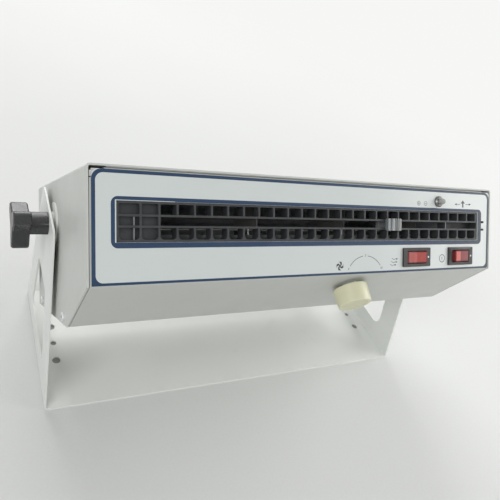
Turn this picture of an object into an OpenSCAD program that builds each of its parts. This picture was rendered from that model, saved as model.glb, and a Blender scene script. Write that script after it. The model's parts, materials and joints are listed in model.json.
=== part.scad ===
// Benchtop ionizing blower: a folded-sheet housing that tilts in a U-shaped stand.
// A cross-flow impeller draws room air through the slotted rear wall and a foam filter,
// turns it over a scroll and sends it past a heater and a row of emitter points, out
// through the egg-crate grille.
//
// Frame: X along the housing, Y to the rear, Z up. The origin is the middle of the stand's
// base plate, on its underside. Pieces of the housing are written in the housing's own
// frame, which in_housing() tilts: there Y = 0 is the front face, Z = 0 the lower edge of
// the front panel, and Y runs into the housing.

/* [Housing] */
// Length of the housing over its end plates
body_l = 362; // [340:1:400]
// Height of the upright front panel
panel_h = 72; // [70:0.2:80]
// Depth of the housing, front panel to rear wall
body_depth = 197; // [178:1:220]
// Depth taken by the slanted control face
slant_depth = 64.5; // [60:0.5:68]
// Drop of the slanted control face from its front edge to its rear edge
slant_drop = 33.5; // [31:0.5:38]
// Thickness of the housing's steel sheet
sheet_t = 1.2; // [1:0.1:1.5]
// Outside radius of the housing's folds
fold_r = 2.4; // [1.8:0.1:2.6]
// Gap between the cover and the chassis along the front and rear edges
cover_gap = 0.5; // [0.4:0.1:0.8]
// Width of the return flanges along the top of the chassis
return_w = 12; // [8:1:16]
// Length of the notches that end those flanges short of the top corners
relief_l = 9; // [8:0.5:14]
// Depth of the notches down the sides of the top corners
relief_h = 6.5; // [5:0.5:10]
// Width of the notches
relief_t = 1.1; // [0.8:0.1:1.4]
// Height of the screw flanges along the ends of the chassis
flange_h = 12; // [10:1:16]
// Height of the cover screws above the bottom face
cover_screw_up = 6.2; // [5:0.1:7]
// Distance of the front cover screws behind the slanted face
cover_screw_front = 9; // [8:0.5:24]
// Distance of the rear cover screws from the rear wall
cover_screw_rear = 24; // [14:0.5:26]
// Radius of the cover screws' shanks
cover_screw_r = 1.75; // [1.5:0.05:2.5]
// Radius of the cover screws' heads
cover_head_r = 3.4; // [3:0.1:4.5]
// Height of the cover screws' heads
cover_head_h = 2; // [1.6:0.1:2.6]

/* [Stand] */
// Thickness of the stand's steel sheet
stand_t = 1.5; // [1.2:0.1:2.5]
// Outside radius of the stand's two folds
stand_fold_r = 2.4; // [2.2:0.1:5]
// Gap between the left arm and the housing, filled at the pivot by a friction washer
gap_left = 3.5; // [3.2:0.1:8]
// Gap between the right arm and the housing
gap_right = 7.5; // [3.2:0.1:9]
// Front-to-back depth of the base plate
plate_depth = 136; // [125:1:170]
// Height of the tilt pivots above the underside of the base plate
pivot_up = 135.5; // [131:0.5:150]
// Distance of the pivots behind the base plate's front edge
pivot_back = 75.5; // [70:0.5:90]
// Height of the arms above the pivots
arm_over = 11.5; // [10:0.5:25]
// How far the arms' front edges lean back over their height
front_lean = 50; // [40:1:54]
// How far the arms' rear edges lean forward over their height
rear_lean = 26; // [10:1:32]
// Corner radius at the top of the arms
arm_corner_r = 6; // [2:0.5:12]
// Width of the arms' strips in front of their windows
window_front = 25; // [18:0.5:30]
// Width of the arms' strips behind their windows
window_rear = 25; // [18:0.5:30]
// Height of the windows' lower edges
window_sill = 20; // [14:1:32]
// Height of the windows' upper edges
window_head = 84; // [70:1:98]
// Corner radius of the windows
window_r = 7; // [3:0.5:10]
// Distance of the base-plate holes from the ends of the stand
hole_inset = 15.5; // [12:0.5:20]
// Pitch of the three holes beside each fold
hole_pitch = 19.5; // [16:0.5:26]
// Radius of the outer fixing holes
fix_hole_r = 3.5; // [2.5:0.1:4.5]
// Radius of the middle fixing holes
mid_hole_r = 2.5; // [1.5:0.1:4]

/* [Tilt] */
// Tilt of the housing at rest: 0 is level and a larger value leans it back
rest_tilt = 39.5; // [0:0.5:60]
// Depth of the pivot axis behind the front face
pivot_y = 111.5; // [105:0.5:118]
// Height of the pivot axis above the panel's lower edge
pivot_z = 38.5; // [36:0.5:44]
// Radius of the clamp studs
stud_r = 3; // [2.5:0.1:4]
// Radial clearance of the studs in the arms
arm_clear = 0.3; // [0.3:0.05:0.6]
// Radius of the friction washers
washer_r = 16; // [12:0.5:20]
// Thickness of the washers' discs against the housing
washer_t = 1.2; // [0.8:0.1:2]
// Radius of the washers' bosses, which fill the rest of the gap
washer_boss_r = 9; // [7:0.5:12]
// Overall radius of the three-lobed clamp knobs
knob_r = 19.5; // [17:0.5:24]
// Radius of each lobe's tip
lobe_r = 5.2; // [4:0.1:6.5]
// Thickness of the lobes
lobe_t = 12.3; // [9:0.1:16]
// Radius of the clamp knobs' hubs
hub_r = 8.5; // [7:0.1:10]
// Length of the hubs from the arm to the lobes
hub_l = 12.8; // [10:0.1:18]
// Turn of the clamp knobs at rest
lobe_turn = 12; // [0:1:119]

/* [Outlet] */
// Distance of the grille opening from both ends of the housing
outlet_side = 17.2; // [15:0.2:24]
// Height of the grille opening's lower edge above the panel's lower edge
outlet_z = 26; // [25:0.5:28]
// Height of the grille opening
outlet_h = 25; // [23:0.2:26]
// Number of the grille's full columns
columns = 26; // [20:1:30]
// Width of the wider column at the grille's left end
first_col = 15; // [12:0.5:18]
// Width of the narrow column at the grille's right end
last_col = 2.4; // [2.2:0.2:8]
// Height of the cleaner's slot between the two long bars
slot_h = 5.4; // [4.6:0.1:6.4]
// Height of the slot's middle above the opening's lower edge
slot_up = 12.9; // [12:0.1:13.5]
// Thickness of the grille's bars
bar_t = 1.4; // [1:0.1:2]
// Depth of the grille's bars
bar_d = 8; // [6:0.5:10]
// Recess of the grille behind the label's face
grille_sink = 0.6; // [0.3:0.1:1.5]
// Width of the grille's flange behind the panel
grille_lip = 4; // [3:0.5:5]
// Distance of the tab slits from the right end of the opening
tab_out = 6.4; // [6:0.2:8]
// Width of the tab slits
tab_w = 3.2; // [2:0.2:4]

/* [Cleaner] */
// Width of the sliding point cleaner's thumb piece
thumb_w = 14.6; // [12:0.2:20]
// Height of the thumb piece
thumb_h = 9.6; // [8:0.2:12]
// How far the thumb piece stands out of the label's face
thumb_out = 3; // [2:0.2:5]
// Distance of the thumb piece from the housing's right end, at rest
thumb_in = 122.3; // [75:0.1:290]
// Sliding clearance of the cleaner in its slot
slide_clear = 0.35; // [0.3:0.05:0.6]

/* [Controls] */
// Thickness of the label on the front panel
label_t = 0.4; // [0.3:0.1:0.8]
// Distance of the label's edges from the panel's edges
label_edge = 1.2; // [0.4:0.1:2]
// Corner radius of the label
label_r = 3.5; // [1:0.5:5]
// Distance of the heat switch from the housing's right end
heat_in = 95; // [90:0.5:100]
// Distance of the power switch from the housing's right end
power_in = 41; // [38:0.5:46]
// Height of the switches' middle above the panel's lower edge
switch_z = 12.2; // [11.8:0.1:13]
// Width of the switch bezels
bezel_w = 31; // [28:0.5:33]
// Height of the switch bezels
bezel_h = 15.6; // [14:0.1:17]
// How far the switch bezels stand out
bezel_out = 1.6; // [1:0.1:2.5]
// Depth of the switch bodies behind the panel
switch_d = 20; // [16:1:24]
// Width of the wells in the switch bezels
well_w = 22; // [21.4:0.2:24]
// Height of the wells in the switch bezels
well_h = 10.6; // [10:0.2:12]
// Width of the rockers
rocker_w = 20; // [17:0.2:20.4]
// Height of the rockers
rocker_h = 9.2; // [7:0.2:9.4]
// Lean of a rocker to either side of its middle
rocker_tilt = 7; // [5:0.5:9]
// Distance of the speed knob from the housing's right end
speed_in = 151; // [136:1:171]
// Distance of the speed knob down the slanted face
speed_s = 20.6; // [19:0.2:34]
// Radius of the speed knob at its base
speed_r = 14; // [11:0.5:16]
// Height of the speed knob
speed_h = 15; // [12:0.5:18]
// Gap under the speed knob
speed_gap = 3; // [2.6:0.1:5]
// Radius of the control shaft
speed_shaft_r = 3; // [2:0.1:3.2]
// Distance of the lamp from the housing's right end
lamp_in = 69.3; // [50:0.1:120]
// Drop of the lamp below the top of the panel
lamp_down = 13; // [12:0.2:14]
// Radius of the lamp's metal bezel
lamp_bezel_r = 4.6; // [4:0.1:6]
// Radius of the lamp's lens
lamp_r = 2.5; // [1.5:0.1:3]
// How far the lens stands out of the label's face
lamp_out = 7; // [4:0.5:9]

/* [Fan] */
// Radius of the cross-flow impeller
fan_r = 29; // [26:0.5:30]
// Depth of the impeller's axis behind the front face
fan_y = 106; // [102:0.5:112]
// Drop of the impeller's axis below the duct floor
fan_drop = 15; // [13:0.5:17]
// Number of blades
blades = 28; // [20:1:34]
// Radial depth of the blades
blade_depth = 7; // [5:0.5:9]
// Thickness of the blades
blade_t = 0.9; // [0.7:0.1:1.4]
// Number of bays between the impeller's discs
fan_bays = 4; // [3:1:6]
// Thickness of the impeller's discs
disc_t = 1.6; // [1:0.1:2.5]
// Radius of the impeller's shafts
shaft_r = 3; // [2.5:0.1:4]
// Running clearance of shafts in their bearings
run_clear = 0.05; // [0.02:0.01:0.1]
// Number of columns blanked off at the grille's left end
blank_left = 2; // [1:1:3]
// Distance of the duct's right end plate from the opening's right end
duct_in_right = 42.5; // [40:0.5:46]
// Thickness of the duct's sheet
duct_t = 1; // [0.8:0.1:1.5]
// Gap between the impeller and the scroll where the scroll starts
scroll_gap = 3; // [2:0.2:4]

/* [Motor and electrics] */
// Thickness of the motor's stack of laminations
stack_t = 18; // [14:1:22]
// Radius of the motor's rotor
rotor_r = 12; // [10:0.5:14]
// Air gap between rotor and stack
air_gap = 0.4; // [0.3:0.1:0.8]
// Number of emitter points
points = 9; // [6:1:12]
// Number of heater wire runs in each of the two rows
wire_runs = 5; // [3:1:7]
// Radius of the heater wires
wire_r = 0.7; // [0.5:0.1:1]
// Width of the control board
board_l = 120; // [80:5:130]
// Depth of the control board
board_w = 44; // [36:1:46]
// Thickness of the control board
board_t = 1.6; // [1:0.2:2]
// Width of the power inlet's flange
inlet_w = 28; // [26:1:32]
// Thickness of the foam filter
filter_t = 6; // [4:0.5:8]
// Width of one intake slot
intake_slot_w = 4; // [3:0.5:5]
// Height of one intake slot
intake_slot_h = 20; // [16:1:22]

/* [Hidden] */
$fn = 48;

// How far cutting shapes run past the faces they cut
over = 1;

// ---- Stand
plate_w = body_l + gap_left + gap_right + 2 * stand_t;
body_end = body_l / 2;
arm_h = pivot_up + arm_over;
plate_front = -plate_depth / 2;
body_x = (gap_left - gap_right) / 2;    // middle of the housing between the arms

// ---- Housing sheet
bottom_z = -slant_drop;
floor_top = bottom_z + sheet_t;
chassis_top = panel_h - sheet_t - cover_gap;
chassis_w = body_l - 2 * (sheet_t + cover_gap);
cover_in_x = body_end - sheet_t;
flange_in_x = chassis_w / 2 - sheet_t;
panel_back = label_t + sheet_t;
rear_in_y = body_depth - sheet_t;
slant_angle = atan2(slant_drop, slant_depth - label_t);
screw_y = [slant_depth + cover_screw_front, body_depth - cover_screw_rear];
screw_z = bottom_z + cover_screw_up;
fit = 0.1;          // clearance between pieces that sit in each other's holes
hole_clear = 0.3;   // radial clearance of screw holes

// ---- Outlet and duct
outlet_w = body_l - 2 * outlet_side;
slot_z = outlet_z + slot_up;
long_bar_z = slot_h / 2 + bar_t / 2;
column_pitch = (outlet_w - first_col - last_col) / columns;
divider_x0 = -outlet_w / 2 + first_col;
lip_t = 1.6;        // thickness of the grille's flange
lip_back = panel_back + lip_t;
bars_back = grille_sink + bar_d;
tab_x = outlet_w / 2 + tab_out;
duct_margin = 1;    // gap between the grille's collar and the duct sheet
duct_floor = outlet_z - duct_margin;
duct_roof = outlet_z + outlet_h + duct_margin;
duct_flange = 5;    // height of the duct's flanges behind the grille
duct_left = divider_x0 + (blank_left - 1) * column_pitch - duct_t - bar_t / 2;
duct_right = outlet_w / 2 - duct_in_right;
duct_l = duct_right - duct_left;
slot_left = duct_left + duct_t + bar_t;
blank_t = 2;        // thickness of the grille's blank ends
blank_sink = 3.4;   // recess of the blank ends behind the grille's face

// ---- Controls
heat_x = body_end - heat_in;
power_x = body_end - power_in;
speed_x = body_end - speed_in;
lamp_x = body_end - lamp_in;
thumb_x = body_end - thumb_in;

// ---- Fan
fan_z = duct_floor - fan_drop;
fan_c = [fan_y, fan_z];
scroll_start = -60;
scroll_end = 90;
scroll_r0 = fan_r + scroll_gap;
scroll_r1 = duct_roof - fan_z;
tongue_gap = 3.2;   // gap between the impeller and the tongue
fan_gap_x = 6;      // gap between the impeller and the duct's end plates
fan_left = duct_left + duct_t + fan_gap_x;
fan_right = duct_right - fan_gap_x;
fan_l = fan_right - fan_left;
bearing_r = 6;
grommet_r = 10;
motor_off = 10;     // gap between the duct's end plate and the motor's laminations
stack_x = duct_right + duct_t + motor_off;
bracket_t = 2;      // thickness of the motor's bearing brackets
motor_hub = 5;      // length of the bearing hubs

// ---- End frames
frame_t = 2;        // thickness of the end frames
frame_x = flange_in_x - frame_t;
nut_r = 7;
nut_in = 8;         // how far the pivot nuts stand inside the end frames
frame_front = 46;   // reach of the end frames in front of the pivot
frame_back = 52;    // reach behind it
frame_drop = 8;     // gap above the end frames
frame_cut = 28;     // cut of the end frames' upper corners
frame_foot = 10;    // width of the end frames' feet
foot_in = 6;        // set-back of the feet at both ends
light_r = 12;       // radius of the lightening holes
light_y = 28;       // distance of the lightening holes from the pivot

// ---------------------------------------------------------------- outline helpers

function unit(v) = v / norm(v);

function polar(r, a) = r * [cos(a), sin(a)];

// An arc of n chords round c, from angle a0 to angle a1
function arc(c, r, a0, a1, n) = [for (i = [0:n]) c + polar(r, a0 + (a1 - a0) * i / n)];

// The arc of radius r that rounds corner b of the path a-b-c
function fillet(a, b, c, r, n = 6) =
    r <= 0 ? [b] :
    let (
        u = unit(a - b),
        v = unit(c - b),
        half = acos(max(-1, min(1, u * v))) / 2,
        reach = r / tan(half),
        mid = b + unit(u + v) * r / sin(half),
        d0 = b + u * reach - mid,
        d1 = b + v * reach - mid,
        a0 = atan2(d0[1], d0[0]),
        turn = atan2(d0[0] * d1[1] - d0[1] * d1[0], d0 * d1)
    )
    arc(mid, r, a0, a0 + turn, n);

// A closed outline with its corners rounded, one radius for each point
function rounded(pts, radii) =
    let (n = len(pts))
    [for (i = [0:n - 1])
        each fillet(pts[(i + n - 1) % n], pts[i], pts[(i + 1) % n], radii[i])];

// An open path with its inner corners rounded
function rounded_path(pts, r) =
    [for (i = [0:len(pts) - 1])
        each (i == 0 || i == len(pts) - 1 ? [pts[i]] : fillet(pts[i - 1], pts[i], pts[i + 1], r, 4))];

function left_of(a, b) = let (d = unit(b - a)) [-d[1], d[0]];

// An open path moved by t to its left, mitred at its corners
function beside(pts, t) =
    let (n = len(pts))
    [for (i = [0:n - 1])
        let (
            m = left_of(pts[max(i - 1, 0)], pts[max(i, 1)]),
            k = left_of(pts[min(i, n - 2)], pts[min(i + 1, n - 1)])
        )
        pts[i] + t * (m + k) / (1 + m * k)];

function reversed(pts) = [for (i = [len(pts) - 1:-1:0]) pts[i]];

// A strip of sheet along a path, t thick to the path's left
module strip(pts, t) {
    polygon(concat(pts, reversed(beside(pts, t))));
}

module rounded_rect(w, h, r) {
    square([w - 2 * r, h], center = true);
    square([w, h - 2 * r], center = true);
    for (x = [-1, 1], y = [-1, 1])
        translate([x * (w / 2 - r), y * (h / 2 - r)])
            circle(r);
}

// A slot with round ends, h long over its ends
module slot(w, h) {
    square([w, h - w], center = true);
    for (s = [-1, 1])
        translate([0, s * (h - w) / 2])
            circle(d = w);
}

// A trough's section: rounded lower corners and straight sides up to height h
module trough(w, h, r) {
    translate([-w / 2, r])
        square([w, h - r]);
    translate([-w / 2 + r, 0])
        square([w - 2 * r, h]);
    for (s = [-1, 1])
        translate([s * (w / 2 - r), r])
            circle(r);
}

// ---------------------------------------------------------------- placing helpers

// Puts a piece written in the housing's frame where the tilted housing is
module in_housing() {
    translate([body_x, plate_front + pivot_back, pivot_up])
        rotate([-rest_tilt, 0, 0])
            translate([0, -pivot_y, -pivot_z])
                children();
}

// Extrudes an outline drawn in Y and Z along X, from x0 to x1
module along_x(x0, x1) {
    translate([x0, 0, 0])
        rotate([90, 0, 90])
            linear_extrude(x1 - x0)
                children();
}

// Extrudes an outline drawn in X and Z along Y, from y0 to y1
module along_y(y0, y1) {
    translate([0, y1, 0])
        rotate([90, 0, 0])
            linear_extrude(y1 - y0)
                children();
}

// A box between two opposite corners
module block(a, b) {
    translate(a)
        cube(b - a);
}

// A rod along X from x0 to x1 through the point (y, z)
module rod_x(x0, x1, y, z, r) {
    translate([x0, y, z])
        rotate([0, 90, 0])
            cylinder(r = r, h = x1 - x0);
}

// A rod along Y from y0 to y1 through the point (x, z)
module rod_y(y0, y1, x, z, r) {
    translate([x, y1, z])
        rotate([90, 0, 0])
            cylinder(r = r, h = y1 - y0);
}

// Repeats a piece on both ends of the housing
module both_ends() {
    children();
    mirror([1, 0, 0])
        children();
}

// Places a piece on the slanted face: Z points out of the face
module on_slant() {
    translate([speed_x, label_t, 0])
        rotate([180 - slant_angle, 0, 0])
            translate([0, -speed_s, 0])
                children();
}

// ---------------------------------------------------------------- stand

// Front and rear edges of an arm at height z, from the plate's front edge
function arm_front(z) = front_lean * z / arm_h;
function arm_rear(z) = plate_depth - rear_lean * z / arm_h;

module arm_outline() {
    pts = [[0, 0], [plate_depth, 0], [arm_rear(arm_h), arm_h], [arm_front(arm_h), arm_h]];
    polygon(rounded(pts, [0, 0, arm_corner_r, arm_corner_r]));
}

module window_outline() {
    pts = [
        for (e = [[1, window_sill], [-1, window_sill], [-1, window_head], [1, window_head]])
            [e[0] > 0 ? arm_front(e[1]) + window_front : arm_rear(e[1]) - window_rear, e[1]]
    ];
    polygon(rounded(pts, [window_r, window_r, window_r, window_r]));
}

module bracket() {
    color("#cfd2cb")
    difference() {
        intersection() {
            along_y(plate_front, plate_front + plate_depth)
                difference() {
                    trough(plate_w, arm_h, stand_fold_r);
                    translate([0, stand_t])
                        trough(plate_w - 2 * stand_t, arm_h, stand_fold_r - stand_t);
                }
            translate([0, plate_front, 0])
                along_x(-plate_w / 2 - over, plate_w / 2 + over)
                    arm_outline();
        }
        translate([0, plate_front, 0])
            along_x(-plate_w / 2 - over, plate_w / 2 + over)
                window_outline();
        rod_x(-plate_w / 2 - over, plate_w / 2 + over, plate_front + pivot_back, pivot_up,
            stud_r + arm_clear);
        for (s = [-1, 1], k = [-1:1])
            translate([s * (plate_w / 2 - hole_inset), k * hole_pitch, -over])
                cylinder(r = k == 0 ? mid_hole_r : fix_hole_r, h = stand_t + 2 * over);
    }
}

// ---------------------------------------------------------------- tilt clamps

// Left clamp in the housing's frame; the right one is its mirror image with its own gap
module clamp_knob(gap) {
    inner = -body_end - gap - stand_t;
    edge = 1;
    lobe_c = knob_r - lobe_r;
    hub_back = inner - hub_l;
    difference() {
        union() {
            rod_x(hub_back - 2 * edge, inner, pivot_y, pivot_z, hub_r);
            translate([hub_back, pivot_y, pivot_z])
                rotate([0, -90, 0])
                    for (k = [0:2])
                        rotate([0, 0, 180 + lobe_turn + 120 * k])
                            hull() {
                                eased_disc(hub_r - 0.3, lobe_t, edge);
                                translate([0, lobe_c, 0])
                                    eased_disc(lobe_r, lobe_t, edge);
                            }
        }
        rod_x(hub_back - lobe_t / 2, inner + over, pivot_y, pivot_z, stud_r);
    }
}

// A disc with a bevel round both faces
module eased_disc(r, h, edge) {
    cylinder(r1 = r - edge, r2 = r, h = edge, $fn = 32);
    translate([0, 0, edge])
        cylinder(r = r, h = h - 2 * edge, $fn = 32);
    translate([0, 0, h - edge])
        cylinder(r1 = r, r2 = r - edge, h = edge, $fn = 32);
}

module clamp_stud(gap) {
    rod_x(-body_end - gap - stand_t - hub_l - lobe_t / 2, -frame_x + nut_in, pivot_y, pivot_z,
        stud_r);
}

module clamp_knob_left() { color("#3f4041") in_housing() clamp_knob(gap_left); }
module clamp_knob_right() { color("#3f4041") in_housing() mirror([1, 0, 0]) clamp_knob(gap_right); }
module clamp_stud_left() { color("silver") in_housing() clamp_stud(gap_left); }
module clamp_stud_right() { color("silver") in_housing() mirror([1, 0, 0]) clamp_stud(gap_right); }

// Shouldered washers: a thin disc on the cover and a boss up to the arm
module friction_washer(gap) {
    difference() {
        union() {
            rod_x(-body_end - washer_t, -body_end, pivot_y, pivot_z, washer_r);
            rod_x(-body_end - gap, -body_end, pivot_y, pivot_z, washer_boss_r);
        }
        rod_x(-body_end - gap - over, -body_end + over, pivot_y, pivot_z, stud_r + arm_clear);
    }
}

module friction_washers() {
    color("#e8e8e2") in_housing() {
        friction_washer(gap_left);
        mirror([1, 0, 0])
            friction_washer(gap_right);
    }
}

// Threaded bosses that carry the studs: a round neck up to the cover, a hexagon inside
module pivot_nuts() {
    color("silver") in_housing()
        both_ends()
            difference() {
                union() {
                    rod_x(-cover_in_x, -frame_x, pivot_y, pivot_z, nut_r);
                    translate([-frame_x, pivot_y, pivot_z])
                        rotate([0, 90, 0])
                            cylinder(r = nut_r + 2.5, h = nut_in, $fn = 6);
                }
                rod_x(-body_end, -frame_x + nut_in + over, pivot_y, pivot_z,
                    stud_r + run_clear);
            }
}

// ---------------------------------------------------------------- housing sheet

side_pts = [[0, 0], [slant_depth, bottom_z], [body_depth, bottom_z],
    [body_depth, panel_h], [0, panel_h]];

// Chassis: front panel, slanted face, bottom and rear wall folded from one sheet
module chassis_outline() {
    path = [
        [label_t + return_w, chassis_top], [label_t, chassis_top], [label_t, 0],
        [slant_depth, bottom_z], [body_depth, bottom_z],
        [body_depth, chassis_top], [body_depth - return_w, chassis_top]
    ];
    strip(rounded_path(path, fold_r), sheet_t);
}

module switch_hole(x, clear) {
    translate([x, switch_z])
        square([bezel_w - 3 + 2 * clear, bezel_h - 2 + 2 * clear], center = true);
}

module outlet_hole(grow) {
    translate([0, outlet_z + outlet_h / 2])
        square([outlet_w + 2 * grow, outlet_h + 2 * grow], center = true);
}

// Room round the lamp's nut in the flanges behind the panel
module lamp_relief() {
    rod_y(panel_back - over, lip_back + 2 * duct_t, lamp_x, panel_h - lamp_down, lamp_bezel_r + 1);
}

// Every opening of the front panel and its label
module front_openings() {
    outlet_hole(0);
    switch_hole(heat_x, 0);
    switch_hole(power_x, 0);
    translate([lamp_x, panel_h - lamp_down])
        circle(lamp_neck_r);
    for (s = [-1, 1])
        translate([tab_x, slot_z + s * long_bar_z])
            square([tab_w + 2 * hole_clear, bar_t + 2 * hole_clear], center = true);
}

lamp_neck_r = lamp_bezel_r - 1.2;
fuse_x = duct_right - 12;
fuse_r = 6;
intake_pitch = 11;
intake_rows = 3;
intake_row_pitch = intake_slot_h + 5;
intake_z = (chassis_top + bottom_z) / 2;
intake_left = duct_left + 6;
intake_right = fuse_x - fuse_r - 16;
intake_cols = floor((intake_right - intake_left) / intake_pitch);
intake_x = (intake_left + intake_right) / 2;
inlet_x = duct_right + 28;
inlet_h = 20;
inlet_z = bottom_z + inlet_h / 2 + 6;
inlet_d = 17;       // depth of the inlet's socket

module intake_slots() {
    for (i = [0:intake_cols], j = [0:intake_rows - 1])
        translate([intake_x + (i - intake_cols / 2) * intake_pitch,
                intake_z + (j - (intake_rows - 1) / 2) * intake_row_pitch])
            slot(intake_slot_w, intake_slot_h);
}

module chassis() {
    color("#d2d5ce") in_housing()
    difference() {
        union() {
            along_x(-chassis_w / 2, chassis_w / 2)
                chassis_outline();
            both_ends()
                block([-chassis_w / 2, slant_depth + fold_r, bottom_z + fold_r / 2],
                    [-flange_in_x, body_depth - 2 * fold_r, bottom_z + flange_h]);
        }
        along_y(-over, panel_back + over)
            front_openings();
        along_y(rear_in_y - over, body_depth + over) {
            intake_slots();
            translate([inlet_x, inlet_z])
                square([inlet_w, inlet_h], center = true);
            translate([fuse_x, inlet_z])
                circle(fuse_r);
        }
        on_slant()
            translate([0, 0, -sheet_t - over])
                cylinder(r = pot_bush_r, h = sheet_t + 2 * over);
        // notches at the front's top corners, where the flange and the cover meet
        both_ends() {
            block([-chassis_w / 2 - over, -over, chassis_top - relief_t],
                [-chassis_w / 2 + relief_l, label_t + return_w + over, chassis_top + over]);
            block([-chassis_w / 2 - over, -over, chassis_top - relief_h],
                [-chassis_w / 2 + relief_t, panel_back + fold_r, chassis_top + over]);
            block([-chassis_w / 2 + relief_l - relief_t, -over, chassis_top - 3 * relief_t],
                [-chassis_w / 2 + relief_l, label_t + return_w + over, chassis_top + over]);
        }
        for (y = screw_y)
            both_ends()
                rod_x(-chassis_w / 2 - over, -flange_in_x + over, y, screw_z, cover_screw_r);
    }
}

// Cover: top and both ends folded from one sheet
module cover() {
    color("#d2d5ce") in_housing()
    difference() {
        intersection() {
            along_y(0, body_depth)
                translate([0, panel_h])
                    mirror([0, 1])
                        difference() {
                            trough(body_l, panel_h + slant_drop, fold_r);
                            translate([0, sheet_t])
                                trough(body_l - 2 * sheet_t, panel_h + slant_drop,
                                    fold_r - sheet_t);
                        }
            along_x(-body_end - over, body_end + over)
                polygon(side_pts);
        }
        rod_x(-body_end - over, body_end + over, pivot_y, pivot_z, stud_r + arm_clear);
        for (y = screw_y)
            rod_x(-body_end - over, body_end + over, y, screw_z,
                cover_screw_r + hole_clear);
    }
}

// Round-headed screw along X with a cross recess; its head rests on x = 0
module cross_screw(shank, shank_r, head_r, head_h) {
    difference() {
        union() {
            rod_x(0, shank, 0, 0, shank_r);
            intersection() {
                rod_x(-head_h, 0, 0, 0, head_r);
                translate([head_h * 0.9, 0, 0])
                    sphere(r = head_h * 1.9 + head_r * 0.28);
            }
        }
        for (a = [0, 90])
            rotate([a, 0, 0])
                block([-head_h - over, -head_r * 0.55, -0.45], [-head_h * 0.45, head_r * 0.55, 0.45]);
    }
}

module cover_screws() {
    color("silver") in_housing()
        for (y = screw_y)
            both_ends()
                translate([-body_end, y, screw_z])
                    cross_screw(sheet_t + cover_gap + sheet_t + 4, cover_screw_r - fit / 2,
                        cover_head_r, cover_head_h);
}

module front_label() {
    color("#dfe4e3") in_housing()
        along_y(0, label_t)
            difference() {
                translate([0, chassis_top / 2])
                    rounded_rect(chassis_w - 2 * label_edge, chassis_top - 2 * label_edge, label_r);
                front_openings();
            }
}

// ---------------------------------------------------------------- end frames

// Doubler plates inside the ends: they carry the pivot nuts and stand on the bottom
module end_frame() {
    front = pivot_y - frame_front;
    back = pivot_y + frame_back;
    head = panel_h - frame_drop;
    difference() {
        union() {
            along_x(-flange_in_x, -frame_x)
                polygon(rounded([[front, floor_top], [back, floor_top], [back, head - frame_cut / 2],
                    [back - frame_cut, head], [front + frame_cut, head], [front, head - frame_cut]],
                    [0, 0, 8, 8, 8, 8]));
            block([-frame_x - frame_t / 2, front + foot_in, floor_top],
                [-frame_x + frame_foot, back - foot_in, floor_top + frame_t]);
        }
        rod_x(-body_end, -frame_x + over, pivot_y, pivot_z, nut_r);
        // lightening holes, and clearance for the cover's screws
        for (y = [-light_y, light_y])
            rod_x(-body_end, -frame_x + over, pivot_y + y, (pivot_z + floor_top) / 2, light_r);
        for (y = screw_y)
            rod_x(-body_end, -frame_x + over, y, screw_z, cover_screw_r + hole_clear);
    }
}

module end_frame_left() { color("#b9bdbd") in_housing() end_frame(); }
module end_frame_right() { color("#b9bdbd") in_housing() mirror([1, 0, 0]) end_frame(); }

// ---------------------------------------------------------------- outlet grille

module grille() {
    collar = bar_t;
    color("#3c3d3e") in_housing()
    difference() {
        union() {
            // collar and flange
            along_y(grille_sink, bars_back)
                difference() {
                    outlet_hole(-fit);
                    outlet_hole(-fit - collar);
                }
            along_y(panel_back, lip_back)
                difference() {
                    outlet_hole(grille_lip);
                    outlet_hole(-fit - collar / 2);
                }
            // upright bars above and below the slot
            along_y(grille_sink, bars_back)
                for (i = [0:columns])
                    translate([divider_x0 + i * column_pitch - bar_t / 2, outlet_z + collar / 2])
                        square([bar_t, outlet_h - collar]);
            // blank ends beyond the duct
            for (e = [[-outlet_w / 2, slot_left], [duct_right, outlet_w / 2]])
                block([e[0] + collar / 2, grille_sink + blank_sink, outlet_z + collar / 2],
                    [e[1] - collar / 2, grille_sink + blank_sink + blank_t,
                    outlet_z + outlet_h - collar / 2]);
            // long bars
            along_y(grille_sink, bars_back)
                for (s = [-1, 1])
                    translate([-outlet_w / 2 + collar / 2, slot_z + s * long_bar_z - bar_t / 2])
                        square([outlet_w - collar, bar_t]);
            // the long bars' tabs, hooked through the panel on the right
            for (s = [-1, 1])
                let (z0 = slot_z + s * long_bar_z - bar_t / 2) {
                    block([outlet_w / 2 - collar, lip_back - 0.5, z0],
                        [tab_x + tab_w / 2, lip_back + 2, z0 + bar_t]);
                    block([tab_x - tab_w / 2, -0.3, z0], [tab_x + tab_w / 2, lip_back, z0 + bar_t]);
                }
        }
        // the cleaner's slot, open between the duct's end plates
        block([slot_left, grille_sink - over, slot_z - slot_h / 2],
            [duct_right, bars_back + over, slot_z + slot_h / 2]);
        lamp_relief();
    }
}

// ---------------------------------------------------------------- point cleaner

module cleaner_slider() {
    neck_w = thumb_w * 0.5;
    neck_h = slot_h - 2 * slide_clear;
    rib = 0.8;
    color("#8d9193") in_housing()
    translate([thumb_x, 0, slot_z]) {
        difference() {
            along_y(-thumb_out, grille_sink - slide_clear)
                rounded_rect(thumb_w, thumb_h, 1.2);
            // finger grooves
            for (k = [-2:2])
                translate([k * thumb_w / 7 - rib / 2, -thumb_out - over, -thumb_h])
                    cube([rib, over + rib, 2 * thumb_h]);
        }
        block([-neck_w / 2, -thumb_out / 2, -neck_h / 2],
            [neck_w / 2, bars_back + slide_clear + 1, neck_h / 2]);
        along_y(bars_back + slide_clear, bars_back + slide_clear + 3)
            rounded_rect(thumb_w - 1, thumb_h, 1);
    }
}

brush_y0 = bars_back + slide_clear + 3;
points_y = brush_y0 + 4;
tip_z = slot_z - 1.6;

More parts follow.
